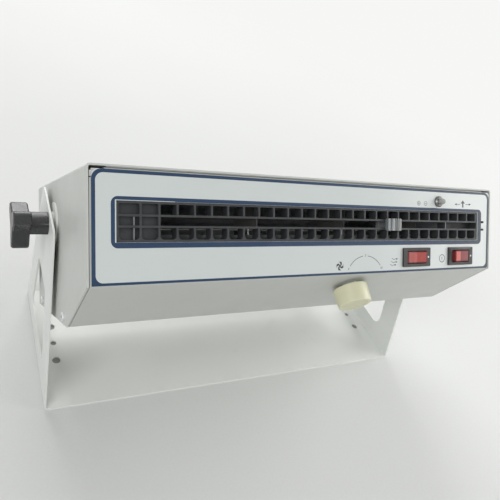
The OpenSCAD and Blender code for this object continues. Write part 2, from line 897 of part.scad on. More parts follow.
// Brush holder behind the slider, with its bristles just over the emitter points
module cleaner_brush() {
    color("#2f3133") in_housing()
    translate([thumb_x, 0, 0]) {
        block([-thumb_w * 0.4, brush_y0, slot_z], [thumb_w * 0.4, brush_y0 + 8, slot_z + 4.6]);
        for (k = [-3:3])
            translate([k * thumb_w * 0.11, points_y, tip_z + slide_clear])
                cylinder(r = 0.7, h = slot_z - tip_z - slide_clear + 0.5, $fn = 16);
    }
}

// ---------------------------------------------------------------- emitter

points_in = 16;     // distance of the outer points from the duct's end plates
points_x0 = duct_left + points_in;
points_step = (duct_l - 2 * points_in) / (points - 1);
bar_top = outlet_z + 4.4;

module emitter_bar() {
    color("#e4e2da") in_housing()
        difference() {
            block([duct_left + duct_t, points_y - 3.5, outlet_z], [duct_right, points_y + 3.5, bar_top]);
            for (i = [0:points - 1])
                translate([points_x0 + i * points_step, points_y, outlet_z + 1.2])
                    cylinder(r = 0.75, h = over + bar_top - outlet_z);
        }
}

module emitter_points() {
    taper = 2.4;
    color("#c9ccd0") in_housing()
        for (i = [0:points - 1])
            translate([points_x0 + i * points_step, points_y, outlet_z + 1.2]) {
                cylinder(r = 0.75, h = tip_z - taper - outlet_z - 1.2, $fn = 24);
                translate([0, 0, tip_z - taper - outlet_z - 1.2])
                    cylinder(r1 = 0.75, r2 = 0.1, h = taper, $fn = 24);
            }
}

// ---------------------------------------------------------------- lamp and switches

lamp_z = panel_h - lamp_down;

// Chromed holder: a domed ring in front, a threaded neck through the panel, a nut behind
module lamp_bezel() {
    color("#b8b9b4") in_housing()
    translate([lamp_x, 0, lamp_z])
        rotate([90, 0, 0])
            rotate_extrude()
                polygon([
                    [lamp_r + fit, 2.4], [lamp_bezel_r - 1, 2.4], [lamp_bezel_r, 1.4],
                    [lamp_bezel_r, 0], [lamp_neck_r - fit, 0], [lamp_neck_r - fit, -panel_back],
                    [lamp_bezel_r + 0.6, -panel_back], [lamp_bezel_r + 0.6, -panel_back - 2.4],
                    [lamp_neck_r - fit, -panel_back - 2.4], [lamp_neck_r - fit, -7], [lamp_r + fit, -7]
                ]);
}

module lamp_lens() {
    color("#e9e6df") in_housing()
    translate([lamp_x, 0, lamp_z])
        rotate([90, 0, 0])
            rotate_extrude()
                polygon(concat(
                    [[0, -8], [lamp_r, -8]],
                    [for (a = [0:15:90]) [lamp_r * cos(a), lamp_out - lamp_r + lamp_r * sin(a)]]
                ));
}

pin_r = 1.2;        // radius of the rockers' trunnions
pin_y = 3;          // depth of the rockers' pivots behind the label's face
pin_reach = 1;      // reach of the trunnions into the sides of the wells

module switch_frame(x) {
    back_w = bezel_w - 3 - 2 * fit;
    back_h = bezel_h - 2 - 2 * fit;
    color("#4a4a47") in_housing()
    translate([x, 0, switch_z])
    difference() {
        union() {
            along_y(-bezel_out, 0)
                rounded_rect(bezel_w, bezel_h, 0.8);
            along_y(-bezel_out / 2, switch_d)
                square([back_w, back_h], center = true);
            for (k = [-1:1])
                block([k * 8 - 0.4, switch_d - 1, -3], [k * 8 + 0.4, switch_d + 7, 3]);
        }
        along_y(-bezel_out - over, switch_d * 0.5)
            square([well_w, well_h], center = true);
        translate([0, pin_y, -well_h / 2 - pin_reach - fit])
            cylinder(r = pin_r + run_clear, h = well_h + 2 * pin_reach + 2 * fit);
    }
}

// Shallow V-faced rocker on a trunnion, leaning by a to one side at rest
module rocker(x, a) {
    half = rocker_w / 2;
    crown = 1.3;
    low = 0.2;
    pts = [[-half, -bezel_out - crown], [0, -bezel_out - low], [half, -bezel_out - crown],
        [half - 0.6, pin_y + 0.6], [4, pin_y + 3], [-4, pin_y + 3], [-half + 0.6, pin_y + 0.6]];
    color("#c0403f") in_housing()
    translate([x, pin_y, switch_z])
        rotate([0, 0, a])
            translate([0, -pin_y, 0]) {
                translate([0, 0, -rocker_h / 2])
                    linear_extrude(rocker_h)
                        polygon(rounded(pts, [0.5, 0, 0.5, 0.5, 0.5, 0.5, 0.5]));
                translate([0, pin_y, -well_h / 2 - pin_reach])
                    cylinder(r = pin_r, h = well_h + 2 * pin_reach);
            }
}

module power_switch_frame() { switch_frame(power_x); }
module heat_switch_frame() { switch_frame(heat_x); }
module power_rocker() { rocker(power_x, rocker_tilt); }
module heat_rocker() { rocker(heat_x, -rocker_tilt); }

// ---------------------------------------------------------------- speed control

pot_bush_r = 4.6;
pot_r = 8.5;
pot_h = 10;
nut_t = 2;          // thickness of the speed control's nut

module speed_control() {
    color("#8b8f8c") in_housing() on_slant()
    difference() {
        union() {
            translate([0, 0, -sheet_t - pot_h])
                cylinder(r = pot_r, h = pot_h);
            translate([0, 0, -sheet_t - over])
                cylinder(r = pot_bush_r - fit, h = sheet_t + nut_t + over);
            for (k = [-1:1])
                translate([k * 4 - 0.6, pot_r - 1, -sheet_t - pot_h * 0.6])
                    cube([1.2, 6, 0.5]);
        }
        translate([0, 0, -sheet_t - pot_h + 2])
            cylinder(r = speed_shaft_r + run_clear, h = pot_h + sheet_t + nut_t + over);
    }
}

module speed_nut() {
    color("silver") in_housing() on_slant()
    difference() {
        cylinder(r = pot_bush_r + 2.6, h = nut_t, $fn = 6);
        translate([0, 0, -over])
            cylinder(r = pot_bush_r - fit, h = nut_t + 2 * over);
    }
}

module speed_shaft() {
    color("silver") in_housing() on_slant()
        translate([0, 0, -sheet_t - pot_h + 2])
            cylinder(r = speed_shaft_r, h = sheet_t + pot_h - 2 + speed_gap + speed_h - 4);
}

// Turned knob: slight taper, eased rim, dished end and a pointer groove down its side
module speed_knob() {
    top_r = speed_r - 0.6;
    dish = 0.6;
    color("#d9d3b2") in_housing() on_slant()
    difference() {
        translate([0, 0, speed_gap])
            rotate_extrude($fn = 72)
                polygon(concat(
                    [[0, 2.2], [speed_r - 2, 2.2], [speed_r - 2, 0], [speed_r - 0.3, 0], [speed_r, 0.3]],
                    arc([top_r - 1, speed_h - 1], 1, 0, 90, 4),
                    [[top_r - 3, speed_h], [top_r - 3.6, speed_h - dish], [0, speed_h - dish]]
                ));
        translate([0, 0, speed_gap - over])
            cylinder(r = speed_shaft_r, h = over + speed_h - 4);
        translate([-0.5, -speed_r - over, speed_gap + speed_h - 0.5])
            cube([1, over + 8, over]);
        translate([-0.5, -speed_r - over, speed_gap + 1.5])
            cube([1, over + 0.7, speed_h]);
    }
}

// ---------------------------------------------------------------- air duct

// A point of the scroll at angle a; it opens evenly from its start to the duct's roof
function scroll_at(a, grow = 0) =
    fan_c + polar(grow + scroll_r0
        + (scroll_r1 - scroll_r0) * (a - scroll_start) / (scroll_end - scroll_start), a);

module scroll() {
    path = concat(
        [for (a = [scroll_start:7.5:scroll_end]) scroll_at(a)],
        [[lip_back + duct_t, duct_roof], [lip_back + duct_t, duct_roof + duct_flange]]
    );
    color("#b4b8b8") in_housing()
        difference() {
            along_x(duct_left + duct_t, duct_right)
                strip(path, -duct_t);
            lamp_relief();
        }
}

// Duct floor with a lip that follows the impeller
module tongue() {
    lip_r = fan_r + tongue_gap;
    meet = 180 - asin(fan_drop / lip_r);
    path = concat(
        [[lip_back + duct_t, duct_floor - duct_flange], [lip_back + duct_t, duct_floor]],
        arc(fan_c, lip_r, meet, meet + 34, 6)
    );
    color("#b4b8b8") in_housing()
        along_x(duct_left + duct_t, duct_right)
            strip(path, -duct_t);
}

// End plate's outline: round the scroll with a margin, then forward along the duct
module duct_end_outline() {
    margin = 4;
    low_r = fan_z - floor_top - 3;
    polygon(concat(
        [for (a = [scroll_start:10:scroll_end]) scroll_at(a, margin)],
        [[lip_back, duct_roof + duct_flange], [lip_back, duct_floor - duct_flange]],
        [for (a = [200:10:scroll_start + 360 - 10]) fan_c + polar(low_r, a)]
    ));
}

// Left end plate of the duct; s turns its flanges to the right for the other end
module duct_end(x0, s, hole_r) {
    foot_y = fan_y + 8;
    flange_w = 9;
    x1 = x0 + duct_t;
    edge = s > 0 ? x1 : x0;
    color("#a9adad") in_housing()
    difference() {
        union() {
            along_x(x0, x1)
                duct_end_outline();
            // foot on the bottom of the chassis
            block([x0, foot_y - 12, floor_top], [x1, foot_y + 12, fan_z]);
            block([min(edge, edge + s * flange_w), foot_y - 12, floor_top],
                [max(edge, edge + s * flange_w), foot_y + 12, floor_top + duct_t]);
            // flange behind the grille
            block([min(edge, edge + s * flange_w), bars_back + fit, duct_floor - duct_flange],
                [max(edge, edge + s * flange_w), bars_back + fit + duct_t, duct_roof + duct_flange]);
        }
        rod_x(x0 - over, x1 + over, fan_y, fan_z, hole_r);
        // clearance for the grille's collar
        block([x0 - over, lip_back - over, outlet_z - 2 * fit],
            [x1 + over, bars_back + fit, outlet_z + outlet_h + 2 * fit]);
    }
}

module duct_end_left() { duct_end(duct_left, -1, grommet_r); }
module duct_end_right() { duct_end(duct_right, 1, shaft_r + 1.5); }

// ---------------------------------------------------------------- impeller

// Forward-curved blade as a bent strip of even thickness
module blade() {
    lead = 14;
    r0 = fan_r - blade_depth;
    path = [for (i = [0:5]) polar(r0 + (blade_depth - 0.2) * i / 5, -lead * pow(i / 5, 2))];
    strip(path, blade_t);
}

module impeller() {
    hub = 8;
    ring_r = fan_r - blade_depth - 2;
    color("#34383a") in_housing()
    translate([fan_left, fan_y, fan_z])
    rotate([90, 0, 90]) {
        linear_extrude(fan_l)
            for (i = [0:blades - 1])
                rotate(i * 360 / blades)
                    blade();
        for (k = [0:fan_bays])
            translate([0, 0, k * (fan_l - disc_t) / fan_bays])
                linear_extrude(disc_t)
                    difference() {
                        circle(fan_r);
                        circle(k == 0 || k == fan_bays ? shaft_r : ring_r);
                    }
        for (z = [0, fan_l - hub])
            translate([0, 0, z])
                difference() {
                    cylinder(r = bearing_r, h = hub);
                    translate([0, 0, -over])
                        cylinder(r = shaft_r, h = hub + 2 * over);
                }
    }
}

shaft_right_end = stack_x + stack_t + bracket_t + motor_hub + 2;

module impeller_shafts() {
    grip = 8;
    color("silver") in_housing() {
        rod_x(duct_left - 8, fan_left + grip, fan_y, fan_z, shaft_r);
        rod_x(fan_right - grip, shaft_right_end, fan_y, fan_z, shaft_r);
    }
}

module bearing() {
    color("#b08d57") in_housing()
    difference() {
        rod_x(duct_left - 5, duct_left + 5, fan_y, fan_z, bearing_r);
        rod_x(duct_left - 5 - over, duct_left + 5 + over, fan_y, fan_z, shaft_r + run_clear);
    }
}

// Grooved rubber grommet that holds the bearing in the left end plate
module bearing_grommet() {
    lip = 2.5;
    color("#26282a") in_housing()
    difference() {
        union() {
            rod_x(duct_left, duct_left + duct_t, fan_y, fan_z, grommet_r);
            rod_x(duct_left - 2.5, duct_left, fan_y, fan_z, grommet_r + lip);
            rod_x(duct_left + duct_t, duct_left + duct_t + 2.5, fan_y, fan_z, grommet_r + lip);
        }
        rod_x(duct_left - 2.5 - over, duct_left + duct_t + 2.5 + over, fan_y, fan_z, bearing_r);
    }
}

// ---------------------------------------------------------------- motor

arm_half = 20;      // half height of the laminations
leg_y = 42;         // distance of the coil's leg behind the shaft
leg_w = 12;
window_half = 10;   // half height of the laminations' window
bolt_z = 16.3;      // height of the motor's bolts above and below the shaft
bolt_r = 1.5;

module at_motor() {
    translate([0, fan_y, fan_z])
        children();
}

module motor_stack() {
    color("#7d8185") in_housing() at_motor()
    along_x(stack_x, stack_x + stack_t)
        difference() {
            polygon(rounded([[-arm_half, -arm_half], [leg_y + leg_w / 2, -arm_half],
                [leg_y + leg_w / 2, arm_half], [-arm_half, arm_half]], [5, 2, 2, 5]));
            circle(rotor_r + air_gap);
            translate([rotor_r + 8, -window_half])
                square([leg_y - leg_w / 2 - rotor_r - 8, 2 * window_half]);
            for (s = [-1, 1])
                translate([0, s * bolt_z])
                    circle(bolt_r + fit);
        }
}

coil_t = 7;         // thickness of the winding round its leg
bobbin_t = 1;

module motor_bobbin() {
    color("#e6e2d6") in_housing() at_motor()
    difference() {
        union() {
            block([stack_x - bobbin_t - fit, leg_y - leg_w / 2 - bobbin_t - fit, -window_half + fit],
                [stack_x + stack_t + bobbin_t + fit, leg_y + leg_w / 2 + bobbin_t + fit,
                window_half - fit]);
            for (s = [0, 1])
                let (z0 = s == 0 ? -window_half + fit : window_half - fit - bobbin_t)
                    block([stack_x - coil_t - 1, leg_y - leg_w / 2 - coil_t - 1, z0],
                        [stack_x + stack_t + coil_t + 1, leg_y + leg_w / 2 + coil_t + 1,
                        z0 + bobbin_t]);
        }
        block([stack_x - fit, leg_y - leg_w / 2 - fit, -window_half - over],
            [stack_x + stack_t + fit, leg_y + leg_w / 2 + fit, window_half + over]);
    }
}

module motor_coil() {
    core = bobbin_t + fit;
    z0 = -window_half + fit + bobbin_t;
    color("#b5652b") in_housing() at_motor()
    translate([stack_x + stack_t / 2, leg_y, z0])
        linear_extrude(-2 * z0)
            difference() {
                rounded_rect(stack_t + 2 * coil_t, leg_w + 2 * coil_t, 3);
                square([stack_t + 2 * core, leg_w + 2 * core], center = true);
            }
}

module motor_rotor() {
    color("#9a9da0") in_housing() at_motor()
    difference() {
        rod_x(stack_x, stack_x + stack_t, 0, 0, rotor_r);
        rod_x(stack_x - over, stack_x + stack_t + over, 0, 0, shaft_r);
    }
}

module motor_brackets() {
    color("#c3c6c8") in_housing() at_motor()
    for (s = [0, 1])
        let (
            x0 = s == 0 ? stack_x - bracket_t : stack_x + stack_t,
            h0 = s == 0 ? x0 - motor_hub : x0
        )
        difference() {
            union() {
                along_x(x0, x0 + bracket_t)
                    slot(2 * bearing_r + 2, 2 * arm_half - 1);
                rod_x(h0, h0 + motor_hub + bracket_t, 0, 0, bearing_r);
            }
            rod_x(h0 - over, h0 + motor_hub + bracket_t + over, 0, 0, shaft_r + run_clear);
            for (k = [-1, 1])
                rod_x(x0 - over, x0 + bracket_t + over, 0, k * bolt_z, bolt_r + fit);
        }
}

// Through bolts that hang the motor on the duct's right end plate
module motor_bolts() {
    color("silver") in_housing() at_motor()
    for (k = [-1, 1]) {
        rod_x(duct_right + duct_t, stack_x + stack_t + bracket_t, 0, k * bolt_z, bolt_r);
        rod_x(stack_x + stack_t + bracket_t, stack_x + stack_t + bracket_t + 2, 0, k * bolt_z,
            bolt_r + 1.3);
    }
}

// ---------------------------------------------------------------- heater

heater_y0 = 30;
heater_pitch = 6;
heater_rows = [9, 18];
heater_d = heater_pitch * (wire_runs + 1);
heater_boards = 4;
mica_t = 1;

function wire_y(i) = heater_y0 + heater_pitch * (i + 1);

module heater_frame() {
    margin = 0.3;
    first = duct_left + duct_t + 3;
    last = duct_right - 3 - mica_t;
    color("#c8b98a") in_housing()
    difference() {
        union() {
            for (k = [0:heater_boards - 1])
                let (x = first + (last - first) * k / (heater_boards - 1))
                    block([x, heater_y0, duct_floor + margin],
                        [x + mica_t, heater_y0 + heater_d, duct_roof - margin]);
            for (y = [heater_y0, heater_y0 + heater_d - mica_t])
                block([first, y, duct_floor + margin], [last + mica_t, y + mica_t, duct_floor + 4]);
        }
        for (i = [0:wire_runs - 1], r = heater_rows)
            rod_x(duct_left, duct_right, wire_y(i), duct_floor + r, wire_r + fit);
    }
}

// Resistance wire strung to and fro between the mica boards
module heater_wire() {
    end = 2;
    x0 = duct_left + duct_t + end;
    x1 = duct_right - end;
    pad = wire_r + 0.2;
    color("#8f8a80") in_housing()
    for (r = heater_rows) {
        for (i = [0:wire_runs - 1])
            rod_x(x0, x1, wire_y(i), duct_floor + r, wire_r);
        for (i = [0:wire_runs - 2])
            let (x = i % 2 == 0 ? x1 : x0)
                block([x - pad, wire_y(i) - pad, duct_floor + r - pad],
                    [x + pad, wire_y(i + 1) + pad, duct_floor + r + pad]);
    }
}

module thermal_cutout() {
    color("#5b5044") in_housing()
    translate([0, heater_y0 + heater_d / 2, duct_roof + duct_t]) {
        cylinder(r = 12, h = 0.8);
        cylinder(r = 7.5, h = 5);
        for (s = [-1, 1])
            block([s * 4 - 2, -0.4, 4], [s * 4 + 2, 0.4, 10]);
    }
}

// ---------------------------------------------------------------- electrics

board_x0 = duct_left + 6;
board_y0 = lip_back + 12;
post_h = 8;
board_top = duct_floor - duct_t - post_h;

module board_posts() {
    inset = 4;
    color("#c8cbcd") in_housing()
    for (x = [board_x0 + inset, board_x0 + board_l - inset],
            y = [board_y0 + inset, board_y0 + board_w - inset])
        translate([x, y, board_top])
            cylinder(r = 2.8, h = post_h, $fn = 6);
}

module control_board() {
    color("#3f7a4a") in_housing()
    block([board_x0, board_y0, board_top - board_t], [board_x0 + board_l, board_y0 + board_w, board_top]);
}

module board_parts() {
    under = board_top - board_t;
    color("#4b5a7a") in_housing()
    translate([board_x0, board_y0, under]) {
        // transformer
        block([0.07 * board_l, 0.36 * board_w, -20], [0.32 * board_l, 0.9 * board_w, 0]);
        // capacitors
        for (x = [0.42, 0.54])
            translate([x * board_l, 0.68 * board_w, -14])
                cylinder(r = 5.5, h = 14);
        // relay and terminal header
        block([8, 2, -10], [30, 12, 0]);
        block([board_l - 12, 8, -9], [board_l - 4, board_w - 8, 0]);
    }
}

module board_heat_sink() {
    under = board_top - board_t;
    color("#a7abad") in_housing()
    translate([board_x0 + board_l - 38, board_y0 + 22, under]) {
        block([0, 0, -14], [20, 3, 0]);
        for (k = [0:4])
            block([k * 4.6, 2, -14], [k * 4.6 + 1.6, 14, 0]);
    }
}

hv_l = 44;
hv_w = 40;
hv_h = 26;
hv_back = 18;       // distance of the high-voltage block behind the pivot
hv_down = 6;        // drop of its underside below the pivot

module high_voltage_block() {
    wall = 3;
    x0 = frame_x - hv_l;
    y0 = pivot_y + hv_back;
    z0 = pivot_z - hv_down;
    color("#2b2d30") in_housing()
    difference() {
        translate([x0, y0, z0])
            linear_extrude(hv_h)
                polygon(rounded([[0, 0], [hv_l, 0], [hv_l, hv_w], [0, hv_w]], [2, 0, 0, 2]));
        // potted well
        block([x0 + wall, y0 + wall, z0 + hv_h - wall / 2],
            [frame_x - wall, y0 + hv_w - wall, z0 + hv_h + over]);
    }
}

module terminal_block() {
    ways = 4;
    pitch = 8;
    color("#d8d5c8") in_housing()
    translate([duct_right + 5, fan_y + 22, floor_top])
    difference() {
        union() {
            cube([ways * pitch, 18, 9]);
            for (k = [0:ways])
                translate([k * (ways * pitch - 1.2) / ways, 0, 0])
                    cube([1.2, 18, 13]);
        }
        for (k = [0:ways - 1], y = [4.5, 13.5])
            translate([(k + 0.5) * pitch, y, 4])
                cylinder(r = 2.2, h = 10);
    }
}

// Mains inlet: flange outside the rear wall, socket behind it
module power_inlet() {
    wall = 1.6;
    ears = 50;
    color("#2e2f31") in_housing()
    translate([inlet_x, 0, inlet_z])
    difference() {
        union() {
            along_y(body_depth, body_depth + 2.2)
                polygon(rounded([[-ears / 2, -5], [-inlet_w / 2, -inlet_h / 2 - 1.5],
                    [inlet_w / 2, -inlet_h / 2 - 1.5], [ears / 2, -5], [ears / 2, 5],
                    [inlet_w / 2, inlet_h / 2 + 1.5], [-inlet_w / 2, inlet_h / 2 + 1.5],
                    [-ears / 2, 5]], [3, 2, 2, 3, 3, 2, 2, 3]));
            along_y(body_depth - inlet_d - 2, body_depth + over)
                square([inlet_w - 2 * fit, inlet_h - 2 * fit], center = true);
        }
        along_y(body_depth - inlet_d, body_depth + 2.2 + over)
            polygon(socket_pts(wall));
        for (s = [-1, 1])
            rod_y(body_depth - over, body_depth + 2.2 + over, s * 20, 0, 1.7);
        pin_blades();
    }
}

// The socket's outline: a rectangle with its two upper corners cut off
function socket_pts(wall) =
    let (w = inlet_w / 2 - wall, h = inlet_h / 2 - wall, cut = 5)
    [[-w, -h], [w, -h], [w, h - cut], [w - cut, h], [-w + cut, h], [-w, h - cut]];

module pin_blades() {
    for (p = [[-7, -2], [0, 2], [7, -2]])
        block([p[0] - 1, body_depth - inlet_d - 9, p[1] - 2], [p[0] + 1, body_depth - 4, p[1] + 2]);
}

module inlet_pins() {
    color("#c9b46a") in_housing()
        translate([inlet_x, 0, inlet_z])
            pin_blades();
}

module fuse_holder() {
    color("#2a2b2d") in_housing()
    translate([fuse_x, 0, inlet_z]) {
        rod_y(body_depth - 30, body_depth + over, 0, 0, fuse_r - fit);
        rod_y(body_depth, body_depth + 3, 0, 0, fuse_r + 2);
        difference() {
            rod_y(body_depth + 2, body_depth + 9, 0, 0, fuse_r);
            block([-fuse_r, body_depth + 7.5, -0.7], [fuse_r, body_depth + 10, 0.7]);
        }
    }
}

// ---------------------------------------------------------------- intake filter

filter_x0 = intake_left - 4;
filter_x1 = intake_right + 4;
filter_h = intake_rows * intake_row_pitch + 6;

module filter_area(grow) {
    translate([(filter_x0 + filter_x1) / 2, intake_z])
        square([filter_x1 - filter_x0 + 2 * grow, filter_h + 2 * grow], center = true);
}

module intake_filter() {
    color("#3a3c3e") in_housing()
        along_y(rear_in_y - filter_t, rear_in_y)
            filter_area(0);
}

// Pressed frame that holds the foam against the rear wall
module filter_frame() {
    rim = 6;
    t = 1;
    color("#b4b8b8") in_housing() {
        along_y(rear_in_y - filter_t - t, rear_in_y - filter_t)
            difference() {
                filter_area(t + fit);
                filter_area(-rim);
            }
        along_y(rear_in_y - filter_t - t, rear_in_y)
            difference() {
                filter_area(t + fit);
                filter_area(fit);
            }
        along_y(rear_in_y - filter_t - t, rear_in_y - filter_t)
            for (k = [1:2])
                translate([filter_x0 + (filter_x1 - filter_x0) * k / 3 - rim / 2, intake_z - filter_h / 2])
                    square([rim, filter_h]);
    }
}

// ---------------------------------------------------------------- output

bracket();
chassis();
cover();
cover_screws();
front_label();
grille();
friction_washers();
pivot_nuts();
end_frame_left();
end_frame_right();
clamp_knob_left();
clamp_stud_left();
clamp_knob_right();
clamp_stud_right();
power_switch_frame();
power_rocker();
heat_switch_frame();
heat_rocker();
lamp_bezel();
lamp_lens();
speed_knob();
speed_control();
speed_shaft();
speed_nut();
cleaner_slider();
cleaner_brush();
emitter_bar();
emitter_points();
heater_frame();
heater_wire();
thermal_cutout();
scroll();
tongue();
duct_end_left();
duct_end_right();
impeller();
impeller_shafts();
bearing();
bearing_grommet();
motor_stack();
motor_bobbin();
motor_coil();
motor_rotor();
motor_brackets();
motor_bolts();
control_board();
board_parts();
board_heat_sink();
board_posts();
high_voltage_block();
terminal_block();
power_inlet();
inlet_pins();
fuse_holder();
intake_filter();
filter_frame();
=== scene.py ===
import json
import math

import bmesh
import bpy
from mathutils import Matrix, Vector


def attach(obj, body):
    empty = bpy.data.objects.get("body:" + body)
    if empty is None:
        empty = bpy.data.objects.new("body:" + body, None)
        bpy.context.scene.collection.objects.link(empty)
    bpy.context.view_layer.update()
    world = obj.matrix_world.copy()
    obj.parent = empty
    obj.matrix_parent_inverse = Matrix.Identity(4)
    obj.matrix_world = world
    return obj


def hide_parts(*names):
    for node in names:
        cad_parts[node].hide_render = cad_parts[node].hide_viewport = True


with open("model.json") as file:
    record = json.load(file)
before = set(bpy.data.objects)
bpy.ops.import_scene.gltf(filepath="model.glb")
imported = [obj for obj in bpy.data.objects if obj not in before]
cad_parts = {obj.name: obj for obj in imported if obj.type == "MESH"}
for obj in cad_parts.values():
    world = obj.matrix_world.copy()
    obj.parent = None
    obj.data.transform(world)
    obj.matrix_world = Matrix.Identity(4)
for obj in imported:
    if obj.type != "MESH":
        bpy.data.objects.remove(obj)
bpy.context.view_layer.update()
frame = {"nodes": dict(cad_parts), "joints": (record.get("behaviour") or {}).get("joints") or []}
NODES = frame["nodes"]
MM = 0.001   # Blender's lengths are in metres; those named below are in mm unless they say otherwise

# ------------------------------------------------------------------ the front panel's own frame
# x runs right, z up along the panel and depth out of it. The label's face is at depth 0, the panel's
# lower edge at z = 0 and its middle at x = 0.

RIGHT = Vector((1, 0, 0))
REAR = Vector((0, 1, 0))
ROCKER_JOINT = next(joint for joint in frame["joints"] if joint["name"] == "power_press")
UP = Vector(ROCKER_JOINT["axis"]).normalized()   # the rocker turns about the line that runs up the panel
OUT = RIGHT.cross(UP).normalized()
LABEL_MARGIN = 1.2   # from the label's lower edge down to the panel's


def reach(node, axis):
    """Lowest and highest reach of a CAD node along an axis, in metres."""
    along = [v.co.dot(axis) for v in NODES[node].data.vertices]
    return min(along), max(along)


PANEL_ORIGIN = (RIGHT * (sum(reach("front_label", RIGHT)) / 2)
                + UP * (reach("front_label", UP)[0] - LABEL_MARGIN * MM)
                + OUT * reach("front_label", OUT)[1])
PANEL = Matrix.Translation(PANEL_ORIGIN) @ Matrix((RIGHT, UP, OUT)).transposed().to_4x4()
TO_PANEL = PANEL.inverted()


def on_panel(node):
    """A CAD node's box in the panel's frame: low corner and high corner."""
    points = [TO_PANEL @ v.co for v in NODES[node].data.vertices]
    low, high = ([pick(p[i] for p in points) for i in range(3)] for pick in (min, max))
    return Vector(low) / MM, Vector(high) / MM


def at_depth(out):
    """The panel's frame moved out to a depth."""
    return PANEL @ Matrix.Translation((0, 0, out * MM))


# ------------------------------------------------------------------ kit for node materials

def shade(color, factor):
    return tuple(min(1.0, v * factor) for v in color)


class Surface:
    """A Principled material on object coordinates, with short ways to add nodes to it."""

    def __init__(self, name, rough=0.5, metallic=0.0, **sockets):
        self.material = bpy.data.materials.new(name)
        self.material.use_nodes = True
        self.tree = self.material.node_tree
        self.bsdf = self.tree.nodes["Principled BSDF"]
        self.coords = self.node("ShaderNodeTexCoord").outputs["Object"]
        self.set("Roughness", rough)
        self.set("Metallic", metallic)
        for key, value in sockets.items():
            self.set(key.replace("_", " "), value)

    def node(self, kind, **props):
        made = self.tree.nodes.new(kind)
        for key, value in props.items():
            setattr(made, key, value)
        return made

    def feed(self, socket, value):
        """Link an output to a socket, or set the socket's value."""
        if hasattr(value, "is_output"):
            self.tree.links.new(value, socket)
        elif socket.type == "RGBA":
            socket.default_value = (*value, 1.0)
        else:
            socket.default_value = value

    def set(self, socket, value):
        self.feed(self.bsdf.inputs[socket], value)

    def along(self, axis, origin=0.0):
        """Distance along an axis of the frame, in mm from an origin."""
        dot = self.node("ShaderNodeVectorMath", operation="DOT_PRODUCT")
        self.feed(dot.inputs[0], self.coords)
        dot.inputs[1].default_value = axis / MM
        return self.math("SUBTRACT", dot.outputs["Value"], origin)

    def scaled(self, scale):
        mapping = self.node("ShaderNodeMapping")
        mapping.inputs["Scale"].default_value = scale
        self.feed(mapping.inputs["Vector"], self.coords)
        return mapping.outputs["Vector"]

    def noise(self, scale, detail=3.0, rough=0.5, vector=None, distortion=0.0):
        made = self.node("ShaderNodeTexNoise")
        made.inputs["Scale"].default_value = scale
        made.inputs["Detail"].default_value = detail
        made.inputs["Roughness"].default_value = rough
        made.inputs["Distortion"].default_value = distortion
        self.feed(made.inputs["Vector"], vector or self.coords)
        return made.outputs["Fac"]

    def voronoi(self, scale):
        """Outputs of a cell pattern: Distance and Color."""
        made = self.node("ShaderNodeTexVoronoi", feature="F1")
        made.inputs["Scale"].default_value = scale
        self.feed(made.inputs["Vector"], self.coords)
        return made.outputs

    def fit(self, value, start, end, low=0.0, high=1.0):
        """A value between start and end, brought to between low and high."""
        made = self.node("ShaderNodeMapRange")
        self.feed(made.inputs["Value"], value)
        made.inputs["From Min"].default_value = start
        made.inputs["From Max"].default_value = end
        made.inputs["To Min"].default_value = low
        made.inputs["To Max"].default_value = high
        return made.outputs["Result"]

    def mix(self, factor, first, second):
        made = self.node("ShaderNodeMix", data_type="RGBA")
        for index, value in ((0, factor), (6, first), (7, second)):
            self.feed(made.inputs[index], value)
        return made.outputs[2]

    def math(self, operation, first, second=0.0):
        made = self.node("ShaderNodeMath", operation=operation)
        self.feed(made.inputs[0], first)
        self.feed(made.inputs[1], second)
        return made.outputs[0]

    def bump(self, height, strength, distance, normal=None):
        made = self.node("ShaderNodeBump")
        made.inputs["Strength"].default_value = strength
        made.inputs["Distance"].default_value = distance
        self.feed(made.inputs["Height"], height)
        if normal is not None:
            self.feed(made.inputs["Normal"], normal)
        return made.outputs["Normal"]

    def varied(self, color, amount, scale):
        """A base colour that drifts gently over the surface."""
        drift = self.fit(self.noise(scale, 4.0, 0.55), 0.3, 0.7)
        return self.mix(drift, shade(color, 1 - amount), shade(color, 1 + amount))

    def sheen(self, low, high, scale, detail=3.0, rough=0.5):
        """Roughness that wanders between two values."""
        self.set("Roughness", self.fit(self.noise(scale, detail, rough), 0.3, 0.7, low, high))

    def grain(self, scale, strength, distance=0.0002, detail=2.0):
        """A fine even relief."""
        self.set("Normal", self.bump(self.noise(scale, detail), strength, distance))


# ------------------------------------------------------------------ materials

def powder_coat(name, color, grime):
    """Fine-textured powder coat with faint smudges and a little dirt that settled in patches."""
    coat = Surface(name)
    base = coat.varied(color, 0.018, 9.0)
    smudge = coat.fit(coat.noise(26.0, 6.0, 0.68, distortion=0.6), 0.60, 0.80, 0.0, grime * 0.5)
    base = coat.mix(smudge, base, (color[0] * 0.80, color[1] * 0.79, color[2] * 0.74))
    speck = coat.fit(coat.voronoi(95.0)["Distance"], 0.055, 0.03)
    gate = coat.fit(coat.noise(14.0, 2.0), 0.58, 0.66, 0.0, grime)
    coat.set("Base Color", coat.mix(coat.math("MULTIPLY", speck, gate), base, (0.16, 0.15, 0.13)))
    coat.sheen(0.36, 0.50, 40.0, 4.0)
    peel = coat.bump(coat.noise(700.0, 2.0), 0.22, 0.00025)
    coat.set("Normal", coat.bump(coat.noise(2600.0, 1.0), 0.12, 0.0001, peel))
    return coat.material


